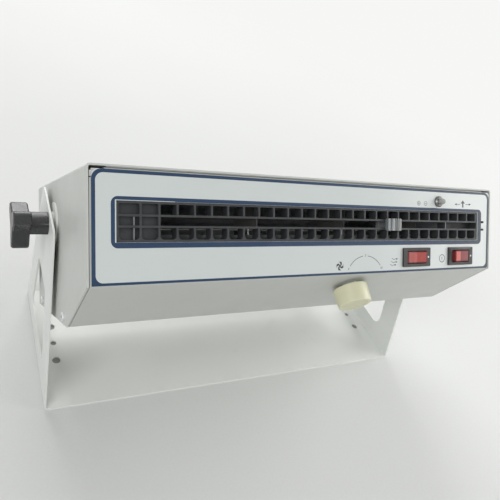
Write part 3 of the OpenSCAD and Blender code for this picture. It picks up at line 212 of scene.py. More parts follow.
def label_film():
    """Printed polyester film: satin, a very fine grain, with painted light that brightens it towards the
    panel's right end.
    """
    film = Surface("label_film", Specular_IOR_Level=0.45)
    base = film.varied((0.625, 0.665, 0.650), 0.012, 12.0)
    # painted light: a lighter film colour towards the panel's right end
    painted_light_towards_right = film.fit(film.along(RIGHT), 40.0, 150.0)
    base = film.mix(painted_light_towards_right, base, (0.79, 0.82, 0.80))
    haze = film.fit(film.noise(60.0, 5.0, 0.6), 0.55, 0.8, 0.0, 0.10)
    film.set("Base Color", film.mix(haze, base, (0.56, 0.60, 0.585)))
    film.sheen(0.33, 0.45, 90.0)
    film.grain(3000.0, 0.05, 0.0001, 1.0)
    return film.material


def moulded(name, color, rough=0.45, grain=0.12, grain_scale=1400.0, dust=0.0, wear=0.05, **sockets):
    """Moulded plastic: fine spark texture, faint flow variation and a film of dust."""
    plastic = Surface(name, **sockets)
    base = plastic.varied(color, wear, 45.0)
    if dust:
        film = plastic.fit(plastic.noise(70.0, 7.0, 0.7), 0.45, 0.8, 0.0, dust)
        base = plastic.mix(film, base, (0.30, 0.30, 0.29))
    plastic.set("Base Color", base)
    plastic.sheen(rough - 0.07, rough + 0.09, 120.0, 5.0, 0.6)
    plastic.grain(grain_scale, grain)
    return plastic.material


def metal(name, color, rough, brushed=None, spangle=0.0, stain=0.1, bump=0.08):
    """Bare or plated metal; brushed gives the direction scaling of its lines."""
    plated = Surface(name, metallic=1.0)
    base = plated.varied(color, 0.05, 60.0)
    if spangle:
        split = plated.node("ShaderNodeSeparateColor")
        plated.feed(split.inputs["Color"], plated.voronoi(90.0)["Color"])
        flower = plated.fit(split.outputs["Red"], 0, 1, 0, spangle)
        base = plated.mix(flower, base, shade(color, 0.6))
    spots = plated.fit(plated.noise(120.0, 6.0, 0.65), 0.5, 0.8, 0.0, stain)
    plated.set("Base Color", plated.mix(spots, base, shade(color, 0.45)))
    if brushed:
        lines = plated.noise(500.0, 3.0, 0.6, plated.scaled(brushed))
    else:
        lines = plated.noise(260.0, 3.0, 0.6)
    plated.set("Roughness", plated.fit(lines, 0.3, 0.7, rough - 0.08, rough + 0.1))
    plated.set("Normal", plated.bump(lines, bump, 0.0002))
    return plated.material


def foam(name, color):
    """Open-cell foam: pores darkened with painted shade, in a soft relief."""
    porous = Surface(name, rough=0.95)
    pores = porous.voronoi(700.0)["Distance"]
    # painted shade in the pores
    depth = porous.fit(pores, 0.1, 0.6)
    porous.set("Base Color", porous.mix(depth, shade(color, 0.35), shade(color, 1.3)))
    porous.set("Normal", porous.bump(pores, 0.9, 0.0008))
    return porous.material


def ink(name, color):
    """Screen-printed ink: slightly uneven cover over the film."""
    cover = Surface(name)
    base = cover.varied(color, 0.06, 150.0)
    thin = cover.fit(cover.noise(900.0, 3.0, 0.6), 0.62, 0.8, 0.0, 0.10)
    cover.set("Base Color", cover.mix(thin, base, (0.5, 0.52, 0.54)))
    cover.sheen(0.30, 0.43, 250.0)
    cover.grain(1800.0, 0.08, 0.0001)
    return cover.material


def navy_ink():
    """The frames' ink: navy, hazy in patches, with painted sheen that greys it towards the panel's right
    end.
    """
    navy = Surface("ink_navy", Specular_IOR_Level=0.35)
    base = navy.varied((0.018, 0.044, 0.098), 0.06, 60.0)
    # painted sheen: the navy turns greyer towards the panel's right end
    painted_sheen_towards_right = navy.fit(navy.along(RIGHT), 60.0, 175.0, 0.0, 0.75)
    base = navy.mix(painted_sheen_towards_right, base, (0.060, 0.070, 0.085))
    haze = navy.fit(navy.noise(40.0, 5.0, 0.6), 0.5, 0.8, 0.0, 0.18)
    navy.set("Base Color", navy.mix(haze, base, (0.12, 0.145, 0.18)))
    navy.sheen(0.38, 0.52, 250.0)
    navy.grain(1800.0, 0.08, 0.0001)
    return navy.material


def slider_grey():
    """Translucent grey moulding with painted light and shade: lighter stripes as painted highlights, and one
    dark stripe as painted shade in a gap.
    """
    grey = Surface("slider_grey", Subsurface_Weight=0.1, Subsurface_Radius=(0.002, 0.002, 0.002))
    left = on_panel("cleaner_slider")[0][0] + PANEL_ORIGIN.x / MM
    soft = 0.4   # width of a band's soft edge
    # painted light and shade: the lighter stripes are painted highlights, the darkest is painted shade in a
    # gap
    # start and end from the piece's left side, and colour
    bands = (
        (0.6, 1.4, (0.300, 0.306, 0.309)),
        (5.4, 6.7, (0.520, 0.530, 0.536)),
        (10.5, 14.0, (0.280, 0.286, 0.288)),
        (9.0, 9.9, (0.110, 0.115, 0.120)),
    )
    base = grey.varied((0.20, 0.213, 0.22), 0.08, 200.0)
    for x0, x1, color in bands:
        begun = grey.fit(grey.along(RIGHT), left + x0 - soft, left + x0)
        ended = grey.fit(grey.along(RIGHT), left + x1 + soft, left + x1)
        base = grey.mix(grey.math("MULTIPLY", begun, ended), base, color)
    grey.set("Base Color", base)
    grey.sheen(0.26, 0.42, 140.0, 4.0)
    grey.grain(1500.0, 0.08)
    return grey.material


def rocker_with_painted_light(key):
    """Clear red rocker: painted shade darkens it round the rim; the power one has painted light on its left
    half, painted shade on its right half and a dark line of painted shade where the two halves meet.
    """
    red = Surface("rocker_red_" + key, Specular_IOR_Level=0.35,
                  Subsurface_Weight=0.12, Subsurface_Radius=(0.003, 0.0006, 0.0005))
    low, high = [PANEL @ (corner * MM) for corner in on_panel(key + "_rocker")]
    middle, half = (high + low) / 2 / MM, (high - low) / 2 / MM
    base = red.varied((0.43, 0.088, 0.078), 0.12, 260.0)
    if key == "power":
        # painted light and shade: the left half lighter, the right half darker, and a dark line of painted
        # shade where they meet
        across = red.along(RIGHT, middle.x)
        base = red.mix(red.fit(across, -1.6, -0.6), (0.66, 0.145, 0.125), (0.26, 0.055, 0.058))
        crease = red.math("SUBTRACT", red.fit(across, -2.0, -1.2), red.fit(across, 0.2, 1.0))
        base = red.mix(red.math("MULTIPLY", crease, 0.6), base, (0.20, 0.020, 0.022))
    # painted shade round the rim, where the rocker sits in its frame
    for axis, rim in ((RIGHT, 1.1), (UP, 2.2)):
        off = red.math("ABSOLUTE", red.along(axis, middle.dot(axis)))
        inside = half.dot(axis) - rim
        dark = red.fit(off, inside - 0.5, inside + 0.3, 0.0, 0.85)
        base = red.mix(dark, base, (0.16, 0.016, 0.018))
    red.set("Base Color", base)
    red.sheen(0.33, 0.46, 160.0, 4.0)
    red.grain(900.0, 0.06)
    return red.material


def lamp_diffuser():
    """Milky clear plastic."""
    milky = Surface("lamp_diffuser", rough=0.2, Transmission_Weight=0.35, IOR=1.5)
    cloud = milky.fit(milky.noise(400.0), 0.3, 0.7)
    milky.set("Base Color", milky.mix(cloud, (0.46, 0.48, 0.45), (0.56, 0.57, 0.54)))
    milky.grain(500.0, 0.04, 0.0001, 3.0)
    return milky.material


# After the colour comes the grime of a powder coat, the roughness of a metal, or a moulding's
# roughness, grain, grain scale, dust and wear where they aren't the usual ones.
MATERIALS = {
    # the stand and the housing
    # painted light: the bracket's white coat is made lighter than the housing's, so that its plate, in the
    # housing's shade, reads as bright
    "bracket": powder_coat("powder_coat_bracket", (0.775, 0.790, 0.760), 0.45),
    "housing": powder_coat("powder_coat_housing", (0.560, 0.573, 0.545), 0.3),
    "zinc": metal("screw_zinc", (0.84, 0.85, 0.86), 0.22),
    "handle": moulded("black_handle", (0.024, 0.025, 0.026), 0.30, 0.25, 1100.0, 0.10),
    "washer": moulded("washer_nylon", (0.78, 0.79, 0.76), 0.40, 0.06, 1200.0, 0.0, 0.03,
                      Subsurface_Weight=0.1, Subsurface_Radius=(0.003, 0.003, 0.003)),
    # the front panel
    "label": label_film(),
    "ink_navy": navy_ink(),
    "ink_white": ink("ink_white", (0.80, 0.82, 0.82)),
    "ink_black": ink("ink_black", (0.03, 0.033, 0.04)),
    "ink_grey": ink("ink_grey", (0.13, 0.135, 0.14)),
    "grille": moulded("black_grille", (0.036, 0.038, 0.041), 0.44, 0.10, dust=0.12,
                      Specular_IOR_Level=0.35),
    # painted shade: a darker copy of the grille's black plastic, for the blank deep behind the right end
    "grille_in_painted_shade": moulded("grille_in_painted_shade", (0.014, 0.015, 0.016), 0.6, 0.1, dust=0.03),
    # painted highlight: a lighter grey copy of the grille's black plastic, for the stiffener and the post's
    # face
    "post": moulded("grille_grey_painted_highlight", (0.20, 0.21, 0.22), 0.5),
    "switch": moulded("switch_black", (0.024, 0.024, 0.023), 0.40, 0.06, 1600.0, 0.08,
                      Specular_IOR_Level=0.35),
    "heat_rocker": rocker_with_painted_light("heat"),
    "power_rocker": rocker_with_painted_light("power"),
    "slider": slider_grey(),
    "lamp_metal": metal("lamp_metal", (0.17, 0.17, 0.165), 0.28, stain=0.25, bump=0.03),
    "lens": lamp_diffuser(),
    "knob": moulded("knob_cream", (0.71, 0.695, 0.49), 0.42, 0.08, 1200.0, 0.03, 0.03,
                    Subsurface_Weight=0.12, Subsurface_Radius=(0.004, 0.003, 0.002)),
    # metal inside
    "galvanised": metal("galvanised_sheet", (0.50, 0.52, 0.53), 0.38, spangle=0.4),
    "steel": metal("plain_steel", (0.55, 0.55, 0.56), 0.25, brushed=(0.05, 1.0, 1.0)),
    "lamination": metal("lamination_steel", (0.30, 0.31, 0.33), 0.45, brushed=(3.0, 0.1, 0.1), bump=0.4),
    "copper": metal("copper_winding", (0.62, 0.26, 0.11), 0.35, brushed=(0.2, 0.2, 4.0), bump=0.6),
    "bronze": metal("sintered_bronze", (0.48, 0.33, 0.16), 0.5),
    "needle": metal("emitter_steel", (0.30, 0.31, 0.32), 0.30, bump=0.02),
    "wire": metal("resistance_wire", (0.50, 0.48, 0.45), 0.45),
    "sink": metal("heat_sink", (0.5, 0.52, 0.54), 0.4, brushed=(1.0, 1.0, 0.1)),
    "brass": metal("inlet_brass", (0.70, 0.54, 0.24), 0.25),
    "fan": moulded("fan_anodised", (0.42, 0.44, 0.46), 0.42, 0.1, 900.0, 0.1, Metallic=0.3),
    "duct": moulded("duct_zinc", (0.74, 0.76, 0.78), 0.55, 0.15, 500.0, 0.1, Metallic=0.1),
    # painted shade: the duct's end plates get a darker copy of the duct's zinc
    "duct_end": moulded("duct_end_zinc_painted_shade", (0.20, 0.21, 0.22), 0.55, 0.15, 500.0, 0.1, Metallic=0.2),
    # plastic, board and foam inside
    "rubber": moulded("grommet_rubber", (0.022, 0.022, 0.023), 0.75, 0.25, 2200.0, 0.2),
    "bobbin": moulded("bobbin_nylon", (0.70, 0.67, 0.58), 0.5),
    "emitter": moulded("emitter_nylon", (0.085, 0.095, 0.095), 0.40, dust=0.3),
    "mica": moulded("mica_board", (0.21, 0.205, 0.195), 0.5, 0.3, 300.0, 0.1, 0.15),
    "phenolic": moulded("phenolic", (0.10, 0.07, 0.05), 0.35),
    "board": moulded("circuit_board", (0.03, 0.17, 0.06), 0.28, 0.2, 400.0),
    "component": moulded("component_body", (0.06, 0.09, 0.17), 0.3),
    "potting": moulded("potting_black", (0.025, 0.025, 0.03), 0.28),
    "terminal": moulded("terminal_plastic", (0.70, 0.67, 0.57), 0.45),
    "inlet": moulded("inlet_black", (0.030, 0.030, 0.031), 0.42, 0.2, 1300.0, 0.06),
    "foam": foam("filter_foam", (0.06, 0.065, 0.07)),
}

# the CAD nodes that each material covers
MADE_OF = {
    "bracket": ["bracket"],
    "housing": ["chassis", "cover"],
    "zinc": ["cover_screws", "clamp_stud_left", "clamp_stud_right", "speed_nut", "motor_bolts",
             "board_posts"],
    "handle": ["clamp_knob_left", "clamp_knob_right"],
    "washer": ["friction_washers"],
    "label": ["front_label"],
    "grille": ["grille"],
    "switch": ["heat_switch_frame", "power_switch_frame"],
    "heat_rocker": ["heat_rocker"],
    "power_rocker": ["power_rocker"],
    "slider": ["cleaner_slider"],
    "lamp_metal": ["lamp_bezel"],
    "lens": ["lamp_lens"],
    "knob": ["speed_knob"],
    "galvanised": ["end_frame_left", "end_frame_right", "motor_brackets", "filter_frame"],
    "steel": ["pivot_nuts", "speed_control", "speed_shaft", "impeller_shafts"],
    "lamination": ["motor_stack", "motor_rotor"],
    "copper": ["motor_coil"],
    "bronze": ["bearing"],
    "needle": ["emitter_points"],
    "wire": ["heater_wire"],
    "sink": ["board_heat_sink"],
    "brass": ["inlet_pins"],
    "fan": ["impeller"],
    "duct": ["scroll", "tongue"],
    "duct_end": ["duct_end_left", "duct_end_right"],
    "rubber": ["cleaner_brush", "bearing_grommet"],
    "bobbin": ["motor_bobbin"],
    "emitter": ["emitter_bar"],
    "mica": ["heater_frame"],
    "phenolic": ["thermal_cutout"],
    "board": ["control_board"],
    "component": ["board_parts"],
    "potting": ["high_voltage_block"],
    "terminal": ["terminal_block"],
    "inlet": ["power_inlet", "fuse_holder"],
    "foam": ["intake_filter"],
}
for material, nodes in MADE_OF.items():
    for node in nodes:
        NODES[node].data.materials.clear()
        NODES[node].data.materials.append(MATERIALS[material])

# ------------------------------------------------------------------ softened edges of rigid CAD pieces


def soften(ob, width, angle):
    """Round an object's sharp edges by a width in mm."""
    bevel = ob.modifiers.new("edges", "BEVEL")
    bevel.width = width * MM
    bevel.segments = 2
    bevel.limit_method = "ANGLE"
    bevel.angle_limit = math.radians(angle)


# where two flat sides meet the real piece has a small round, too small for the CAD
EDGE_WIDTHS = {
    "bracket": 0.35,
    "speed_knob": 1.1,
    "cleaner_slider": 0.2,
    "front_label": 0.1,
    "clamp_knob_left": 0.8,
    "clamp_knob_right": 0.8,
    "heat_switch_frame": 0.3,
    "power_switch_frame": 0.3,
    "heat_rocker": 0.5,
    "power_rocker": 0.5,
}
for node, edge_width in EDGE_WIDTHS.items():
    weld = NODES[node].modifiers.new("weld", "WELD")
    weld.merge_threshold = 1e-6
    soften(NODES[node], edge_width, 40)

# ------------------------------------------------------------------ outlines on the panel


def arc(cx, cz, r, start, end, steps=12):
    angles = [math.radians(start + (end - start) * i / steps) for i in range(steps + 1)]
    return [(cx + r * math.cos(a), cz + r * math.sin(a)) for a in angles]


def disc(cx, cz, r, steps=24):
    return arc(cx, cz, r, 0, 360, steps)[:-1]


def rectangle(x0, z0, x1, z1):
    return [(x0, z0), (x1, z0), (x1, z1), (x0, z1)]


def rounded(x0, z0, x1, z1, low, high, steps=8):
    """A rectangle with one corner radius below and another above."""
    corners = ((x1 - high, z1 - high, high), (x0 + high, z1 - high, high),
               (x0 + low, z0 + low, low), (x1 - low, z0 + low, low))
    return [point for quarter, (x, z, r) in enumerate(corners)
            for point in arc(x, z, r, 90 * quarter, 90 * quarter + 90, steps)]


def stroke(points, width):
    """The outline of a line drawn through the points."""
    left, right = [], []
    for i, (x, z) in enumerate(points):
        before, after = points[max(i - 1, 0)], points[min(i + 1, len(points) - 1)]
        dx, dz = after[0] - before[0], after[1] - before[1]
        length = math.hypot(dx, dz)
        side_x, side_z = -dz / length * width / 2, dx / length * width / 2
        left.append((x + side_x, z + side_z))
        right.append((x - side_x, z - side_z))
    return left + right[::-1]


# ------------------------------------------------------------------ closed pieces from outlines

def link(ob):
    bpy.context.scene.collection.objects.link(ob)
    return ob


def from_curve(cu, place):
    """The closed mesh of a filled curve, set in place."""
    tmp = link(bpy.data.objects.new(cu.name, cu))
    me = bpy.data.meshes.new_from_object(tmp.evaluated_get(bpy.context.evaluated_depsgraph_get()))
    bpy.data.objects.remove(tmp)
    bpy.data.curves.remove(cu)
    bm = bmesh.new()
    bm.from_mesh(me)
    bmesh.ops.remove_doubles(bm, verts=bm.verts, dist=1e-7)
    bmesh.ops.recalc_face_normals(bm, faces=bm.faces)
    bm.transform(place)
    bm.to_mesh(me)
    bm.free()
    return me


def sheet(name, loops, thick, out):
    """Mesh of a plate whose front is at a depth; outlines inside others are holes."""
    cu = bpy.data.curves.new(name + "_outline", "CURVE")
    cu.dimensions = "2D"
    cu.fill_mode = "BOTH"
    cu.extrude = thick * MM / 2
    for points in loops:
        spline = cu.splines.new("POLY")
        spline.points.add(len(points) - 1)
        for p, (x, z) in zip(spline.points, points):
            p.co = (x * MM, z * MM, 0, 1)
        spline.use_cyclic_u = True
    return from_curve(cu, at_depth(out - thick / 2))


def merged(name, meshes):
    """One mesh from several closed ones."""
    bm = bmesh.new()
    for me in meshes:
        bm.from_mesh(me)
        bpy.data.meshes.remove(me)
    me = bpy.data.meshes.new(name)
    bm.to_mesh(me)
    bm.free()
    return me


def finish(name, me, mat, body="housing"):
    me.materials.clear()
    me.materials.append(MATERIALS[mat])
    me.name = name
    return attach(link(bpy.data.objects.new(name, me)), body)


def plate(name, loops, thick, out, mat):
    return finish(name, sheet(name, loops, thick, out), mat)


INK = 0.05   # thickness of the print


def mark(name, loops, mat="ink_black", out=0.0):
    """A print on the label, or on another face at a depth."""
    return plate(name, loops, INK, out + INK, mat)


# ------------------------------------------------------------------ the label's edge and printed frames

LABEL_LOW, LABEL_HIGH = on_panel("front_label")
OPEN_X = 163.8          # half the width of the outlet's opening in the panel
OPEN_Z = (26.0, 51.0)   # its lower and upper edge
FOOT = 0.5              # the print's lower edge


def label_lower_edge():
    """The label reaches a little over the fold under it."""
    loop = rectangle(LABEL_LOW[0], FOOT, LABEL_HIGH[0], LABEL_LOW[1])
    plate("label_lower_edge", [loop], -LABEL_LOW[2], 0.0, "label")


def border_outer():
    """The frame near the label's edge, about 2 mm wide, with a square corner at its lower left."""
    outer = (arc(172.2, 62.7, 6.3, 0, 90) + arc(-172.1, 62.9, 6.2, 90, 180)
             + [(-178.3, FOOT)] + arc(176.9, FOOT + 1.6, 1.6, 270, 360))
    inner = (arc(171.6, 62.2, 4.8, 0, 90) + arc(-171.3, 62.3, 4.7, 90, 180)
             + arc(-171.5, 6.6, 4.5, 180, 270) + arc(171.9, 6.6, 4.5, 270, 360))
    mark("border_outer", [outer, inner[::-1]], "ink_navy")


def border_outlet():
    """The frame round the outlet, which leaves bare film at the opening's left and upper left edge."""
    gap = 0.1              # all round the opening
    bare_left = 0.8
    bare_end = -127.0      # where the bare film along the top ends
    x0, x1 = -OPEN_X - bare_left, OPEN_X + gap
    z0, z1 = OPEN_Z[0] - gap, OPEN_Z[1] + gap
    inner = [(x0, z0), (x0, z1 + 0.35), (bare_end, z1 + 0.25), (bare_end, z1), (x1, z1), (x1, z0)]
    outer = rounded(-167.0, 22.5, 168.6, 53.5, 4.2, 4.2)
    mark("border_outlet", [outer, inner], "ink_navy")


label_lower_edge()
border_outer()
border_outlet()

# ------------------------------------------------------------------ folded returns in the housing's gaps


def painted_strip(name, x0, z0, x1, z1, out):
    """A strip of the housing's sheet, its face at a depth."""
    plate(name, [rectangle(x0, z0, x1, z1)], 1.0, out, "housing")


def folded_returns():
    """What shows of the chassis at its upper front corners and over its top edge."""
    side, top = on_panel("chassis")[1][:2]
    inner, outer = side - 1.1, side - 0.05     # how far from the middle a corner's return reaches
    low, high = top - 5.8, top - 2.3
    painted_strip("corner_return_left", -outer, low, -inner, high, LABEL_LOW[2])
    painted_strip("corner_return_right", inner, low, outer, high, LABEL_LOW[2])
    short = side - 10.0                        # the top's return stops before the corners
    painted_strip("cover_return", -short, top + 0.05, short, top + 0.4, -0.9)


folded_returns()

# ------------------------------------------------------------------ the outlet grille
# The CAD grille's bars again, with rounded cells. Across the slot's right end there is one thin post
# in place of the CAD's uprights, and the blank wall there lies deeper.

GRILLE_LOW, GRILLE_HIGH = on_panel("grille")
THUMB_LOW, THUMB_HIGH = on_panel("cleaner_slider")
BAR = 1.4                                # width of a bar
FACE = -0.6                              # depth of the bars' front
PANEL_BACK = -1.6                        # depth of the panel's rear side
CLEAR = 0.1                              # between the grille's rim and the panel
FIRST, LAST, COLUMNS = 15.0, 2.4, 26     # widths of the outermost columns, and how many lie between
HALF_SLOT = 2.7
OVERLAP = 0.6                            # of the blank walls over the rim
SLOT_MIDDLE = (THUMB_LOW[1] + THUMB_HIGH[1]) / 2
SLOT = (SLOT_MIDDLE - HALF_SLOT, SLOT_MIDDLE + HALF_SLOT)
DUCT = (on_panel("duct_end_left")[1][0] + BAR, on_panel("duct_end_right")[0][0])
POST = (DUCT[1] + 0.1, DUCT[1] + 0.9)    # the thin upright that ends the slot
RIM_X, RIM_Z = OPEN_X - CLEAR, (OPEN_Z[0] + CLEAR, OPEN_Z[1] - CLEAR)
INNER_X, INNER_Z = RIM_X - BAR, (RIM_Z[0] + BAR, RIM_Z[1] - BAR)
LOWER_ROW, UPPER_ROW = (INNER_Z[0], SLOT[0] - BAR), (SLOT[1] + BAR, INNER_Z[1])


def cell(x0, x1, row, bottom=0.3, top=0.3):
    """The outline of a hole in a row, with the radii of its lower and upper corners."""
    widest = (x1 - x0) / 2.2
    return rounded(x0, row[0], x1, row[1], min(bottom, widest), min(top, widest), 6)[::-1]


def grille_cells():
    pitch = (2 * OPEN_X - FIRST - LAST) / COLUMNS
    uprights = [-OPEN_X + FIRST + i * pitch for i in range(COLUMNS + 1)]
    edges = [-INNER_X] + [x + side for x in uprights for side in (-BAR / 2, BAR / 2)] + [INNER_X]
    cells = [cell(DUCT[0], POST[0], SLOT), cell(POST[1], INNER_X, SLOT)]
    for x0, x1 in zip(edges[::2], edges[1::2]):
        cells += [cell(x0, x1, LOWER_ROW, 2.4, 0.3), cell(x0, x1, UPPER_ROW, 0.3, 0.8)]
        if x1 < DUCT[0]:
            cells.append(cell(x0, x1, SLOT))
    return cells


def blank(x0, x1):
    """The outline of a wall behind the cells, which reaches into the rim."""
    return rounded(x0, INNER_Z[0] - OVERLAP, x1, INNER_Z[1] + OVERLAP, 0.5, 0.5)


def tabs(lip):
    """Two tabs that stand out right of the opening, on roots at the flange."""
    end = GRILLE_HIGH[0]
    meshes = []
    for z0 in (SLOT[0] - BAR, SLOT[1]):
        root = rectangle(OPEN_X - 1, z0, end, z0 + BAR)
        tab = rectangle(end - BAR, z0, end, z0 + BAR)
        meshes.append(sheet("tab_root", [root], lip + 0.4, PANEL_BACK))
        meshes.append(sheet("tab", [tab], GRILLE_HIGH[2] - PANEL_BACK + 0.8, GRILLE_HIGH[2]))
    return meshes


def grille_moulding():
    """Bars, the flange behind the panel, the blank wall at the left end and the tabs."""
    lip, lip_in, lip_end = 1.6, 0.8, 4.0     # the flange's thickness, and its reach in and out
    rim = rounded(-RIM_X, RIM_Z[0], RIM_X, RIM_Z[1], 2.0, 2.0, 6)
    lip_rim = rounded(GRILLE_LOW[0], GRILLE_LOW[1], OPEN_X + lip_end, GRILLE_HIGH[1], 1.0, 1.0)
    lip_hole = rounded(-OPEN_X + lip_in, OPEN_Z[0] + lip_in, OPEN_X - lip_in, OPEN_Z[1] - lip_in,
                       2.0, 2.0, 6)
    meshes = [
        sheet("bars", [rim] + grille_cells(), FACE - GRILLE_LOW[2], FACE),
        sheet("flange", [lip_rim, lip_hole[::-1]], lip, PANEL_BACK),
        sheet("blank_left", [blank(-INNER_X - OVERLAP, DUCT[0])], 2.0, FACE - 3.4),
    ]
    grille = finish("grille_moulding", merged("grille_moulding", meshes + tabs(lip)), "grille")
    soften(grille, 0.25, 50)
    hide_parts("grille")


def grille_inserts():
    """A blank behind the right end, dark with painted shade; a thin stiffener in two cells of the wide first
    column and a strip on the face of the slot's post, both in a lighter grey as painted highlights."""
    gap = 0.05
    # painted shade: the right blank is darker than the grille's plastic
    plate("grille_blank_right", [blank(DUCT[1], INNER_X + OVERLAP)], 1.0, GRILLE_LOW[2] + 1.0, "grille_in_painted_shade")
    ribs = [rounded(-152.9, row[0] + gap, -152.35, row[1] - gap, 0.1, 0.1) for row in (LOWER_ROW, SLOT)]
    # painted highlight: the stiffener and the post's face are a lighter grey than the grille's plastic
    plate("grille_stiffener_painted_highlight", ribs, 2.6, FACE - 0.7, "post")
    light = rounded(POST[0] + 0.1, SLOT[0] + gap, POST[1] - gap, SLOT[1] - gap, 0.1, 0.1)
    plate("slot_post_painted_highlight", [light], 0.3, FACE + 0.3, "post")


grille_moulding()
grille_inserts()

# ------------------------------------------------------------------ signs on the label


def number(name, text, x, z):
    """A printed number with its middle at a place on the label."""
    cu = bpy.data.curves.new(name + "_text", "FONT")
    cu.body = text
    cu.size = 2.6 * MM
    cu.align_x = "CENTER"
    cu.align_y = "CENTER"
    cu.extrude = INK * MM / 2
    place = at_depth(INK / 2) @ Matrix.Translation((x * MM, z * MM, 0))
    finish(name, from_curve(cu, place), "ink_grey")


def dial():
    """A scale over the speed knob, open round its middle number."""
    x, z, r, line = 30.6, -5.0, 19.3, 0.5
    mark("dial_arc_left", [stroke(arc(x, z, r, 143, 97.5, 16), line)], "ink_grey")
    mark("dial_arc_right", [stroke(arc(x, z, r, 82.5, 37, 16), line)], "ink_grey")
    number("dial_0", "0", x - 16.8, 4.5)
    number("dial_5", "5", x, 14.6)
    number("dial_10", "10", x + 16.7, 4.4)


def fan_sign():
    """Four curved blades round a hub."""
    x, z, tip = 5.3, 7.1, 3.7
    sweep = 62          # degrees that a blade's leading edge turns from the hub to its tip
    blades = []
    for k in range(4):
        start = 90 * k + 58
        leading = [(r, start + sweep * (r / tip) ** 1.6) for r in (0.5, 1.2, 2.0, 2.8, 3.4, tip)]
        trailing = [(r, start + sweep * (r / tip) ** 1.6 - 46 - 6 * math.sin(r))
                    for r in (3.5, 3.0, 2.4, 1.6, 0.8)]
        blades.append([(x + r * math.cos(math.radians(a)), z + r * math.sin(math.radians(a)))
                       for r, a in leading + trailing])
    mark("sign_fan_blades", blades)
    mark("sign_fan_hub", [disc(x, z, 0.8, 12)])


def warm_air_sign():
    """Three waves that end in arrow tips."""
    for k, (x, z) in enumerate(((58.6, 11.2), (58.0, 8.7), (56.8, 6.4))):
        wave = [(x + t * 0.5, z + 0.45 * math.sin(1.6 - t * 0.62)) for t in range(10)]
        mark("sign_wave_%d" % k, [stroke(wave, 0.45)], "ink_grey")
        mark("sign_wave_tip_%d" % k, [[(x + 4.9, z + 0.75), (x + 7.0, z), (x + 4.9, z - 0.75)]])


def power_sign():
    """A ring with a bar."""
    x, z = 117.6, 10.5
    mark("sign_power_ring", [disc(x, z, 3.5, 36), disc(x, z, 2.9, 36)[::-1]], "ink_grey")
    mark("sign_power_bar", [stroke([(x, z - 1.3), (x, z + 1.3)], 0.6)], "ink_grey")


def ion_signs():
    """Plus and minus in rings, left of the lamp."""
    plus, minus, z, line = 88.4, 96.4, 57.0, 0.45
    for name, x in (("plus", plus), ("minus", minus)):
        mark("sign_%s_ring" % name, [disc(x, z, 1.9), disc(x, z, 1.5)[::-1]], "ink_grey")
        mark("sign_%s_bar" % name, [stroke([(x - 0.9, z), (x + 0.9, z)], line)], "ink_grey")
    mark("sign_plus_stem_up", [stroke([(plus, z + 0.23), (plus, z + 1.0)], line)], "ink_grey")
    mark("sign_plus_stem_down", [stroke([(plus, z - 1.0), (plus, z - 0.23)], line)], "ink_grey")


def arrow(name, tail, tip, width, head, half):
    """An arrow from tail to tip, with a head of a given length and half width."""
    length = math.hypot(tip[0] - tail[0], tip[1] - tail[1])
    ux, uz = (tip[0] - tail[0]) / length, (tip[1] - tail[1]) / length
    neck = (tip[0] - ux * head, tip[1] - uz * head)

    def beside(point, distance):
        return point[0] - uz * distance, point[1] + ux * distance

    mark(name, [[beside(tail, width / 2), beside(neck, width / 2), beside(neck, half), tip,
                 beside(neck, -half), beside(neck, -width / 2), beside(tail, -width / 2)]])


def cleaner_sign():
    """Arrows to both sides of an upright one, over the cleaner's slot."""
    arrow("sign_arrow_left", (139.6, 57.5), (132.4, 57.4), 0.4, 2.8, 1.0)
    arrow("sign_arrow_up", (143.3, 54.9), (143.3, 61.2), 1.7, 2.8, 2.6)
    arrow("sign_arrow_right", (146.8, 57.6), (154.2, 57.8), 0.4, 3.0, 1.0)


def switch_dots():
    """A white dot near the right end of each switch frame."""
    from_middle = 13.1
    for key in ("heat", "power"):
        low, high = on_panel(key + "_switch_frame")
        x, z = (low[0] + high[0]) / 2 + from_middle, (low[1] + high[1]) / 2
        mark("dot_" + key, [disc(x, z, 0.8, 20)], "ink_white", high[2])


dial()
fan_sign()
warm_air_sign()
power_sign()
ion_signs()
cleaner_sign()
switch_dots()

# ------------------------------------------------------------------ floor, light and camera

PALE = (0.925, 0.93, 0.915)   # the plain backdrop, as the camera and glossy or clear surfaces see it


def looked_at(tree):
    """1 for the camera's rays and those that glossy or clear surfaces send on, else 0."""
    path = tree.nodes.new("ShaderNodeLightPath").outputs
    picked = path["Is Camera Ray"]
    for ray in ("Is Glossy Ray", "Is Transmission Ray"):
        either = tree.nodes.new("ShaderNodeMath")
        either.operation = "MAXIMUM"
        tree.links.new(picked, either.inputs[0])
        tree.links.new(path[ray], either.inputs[1])
        picked = either.outputs[0]
    return picked


def join_shaders(tree, factor, first, second, output):
    join = tree.nodes.new("ShaderNodeMixShader")
    for socket, source in zip(join.inputs, (factor, first, second)):
        tree.links.new(source, socket)
    tree.links.new(join.outputs[0], tree.nodes[output].inputs["Surface"])


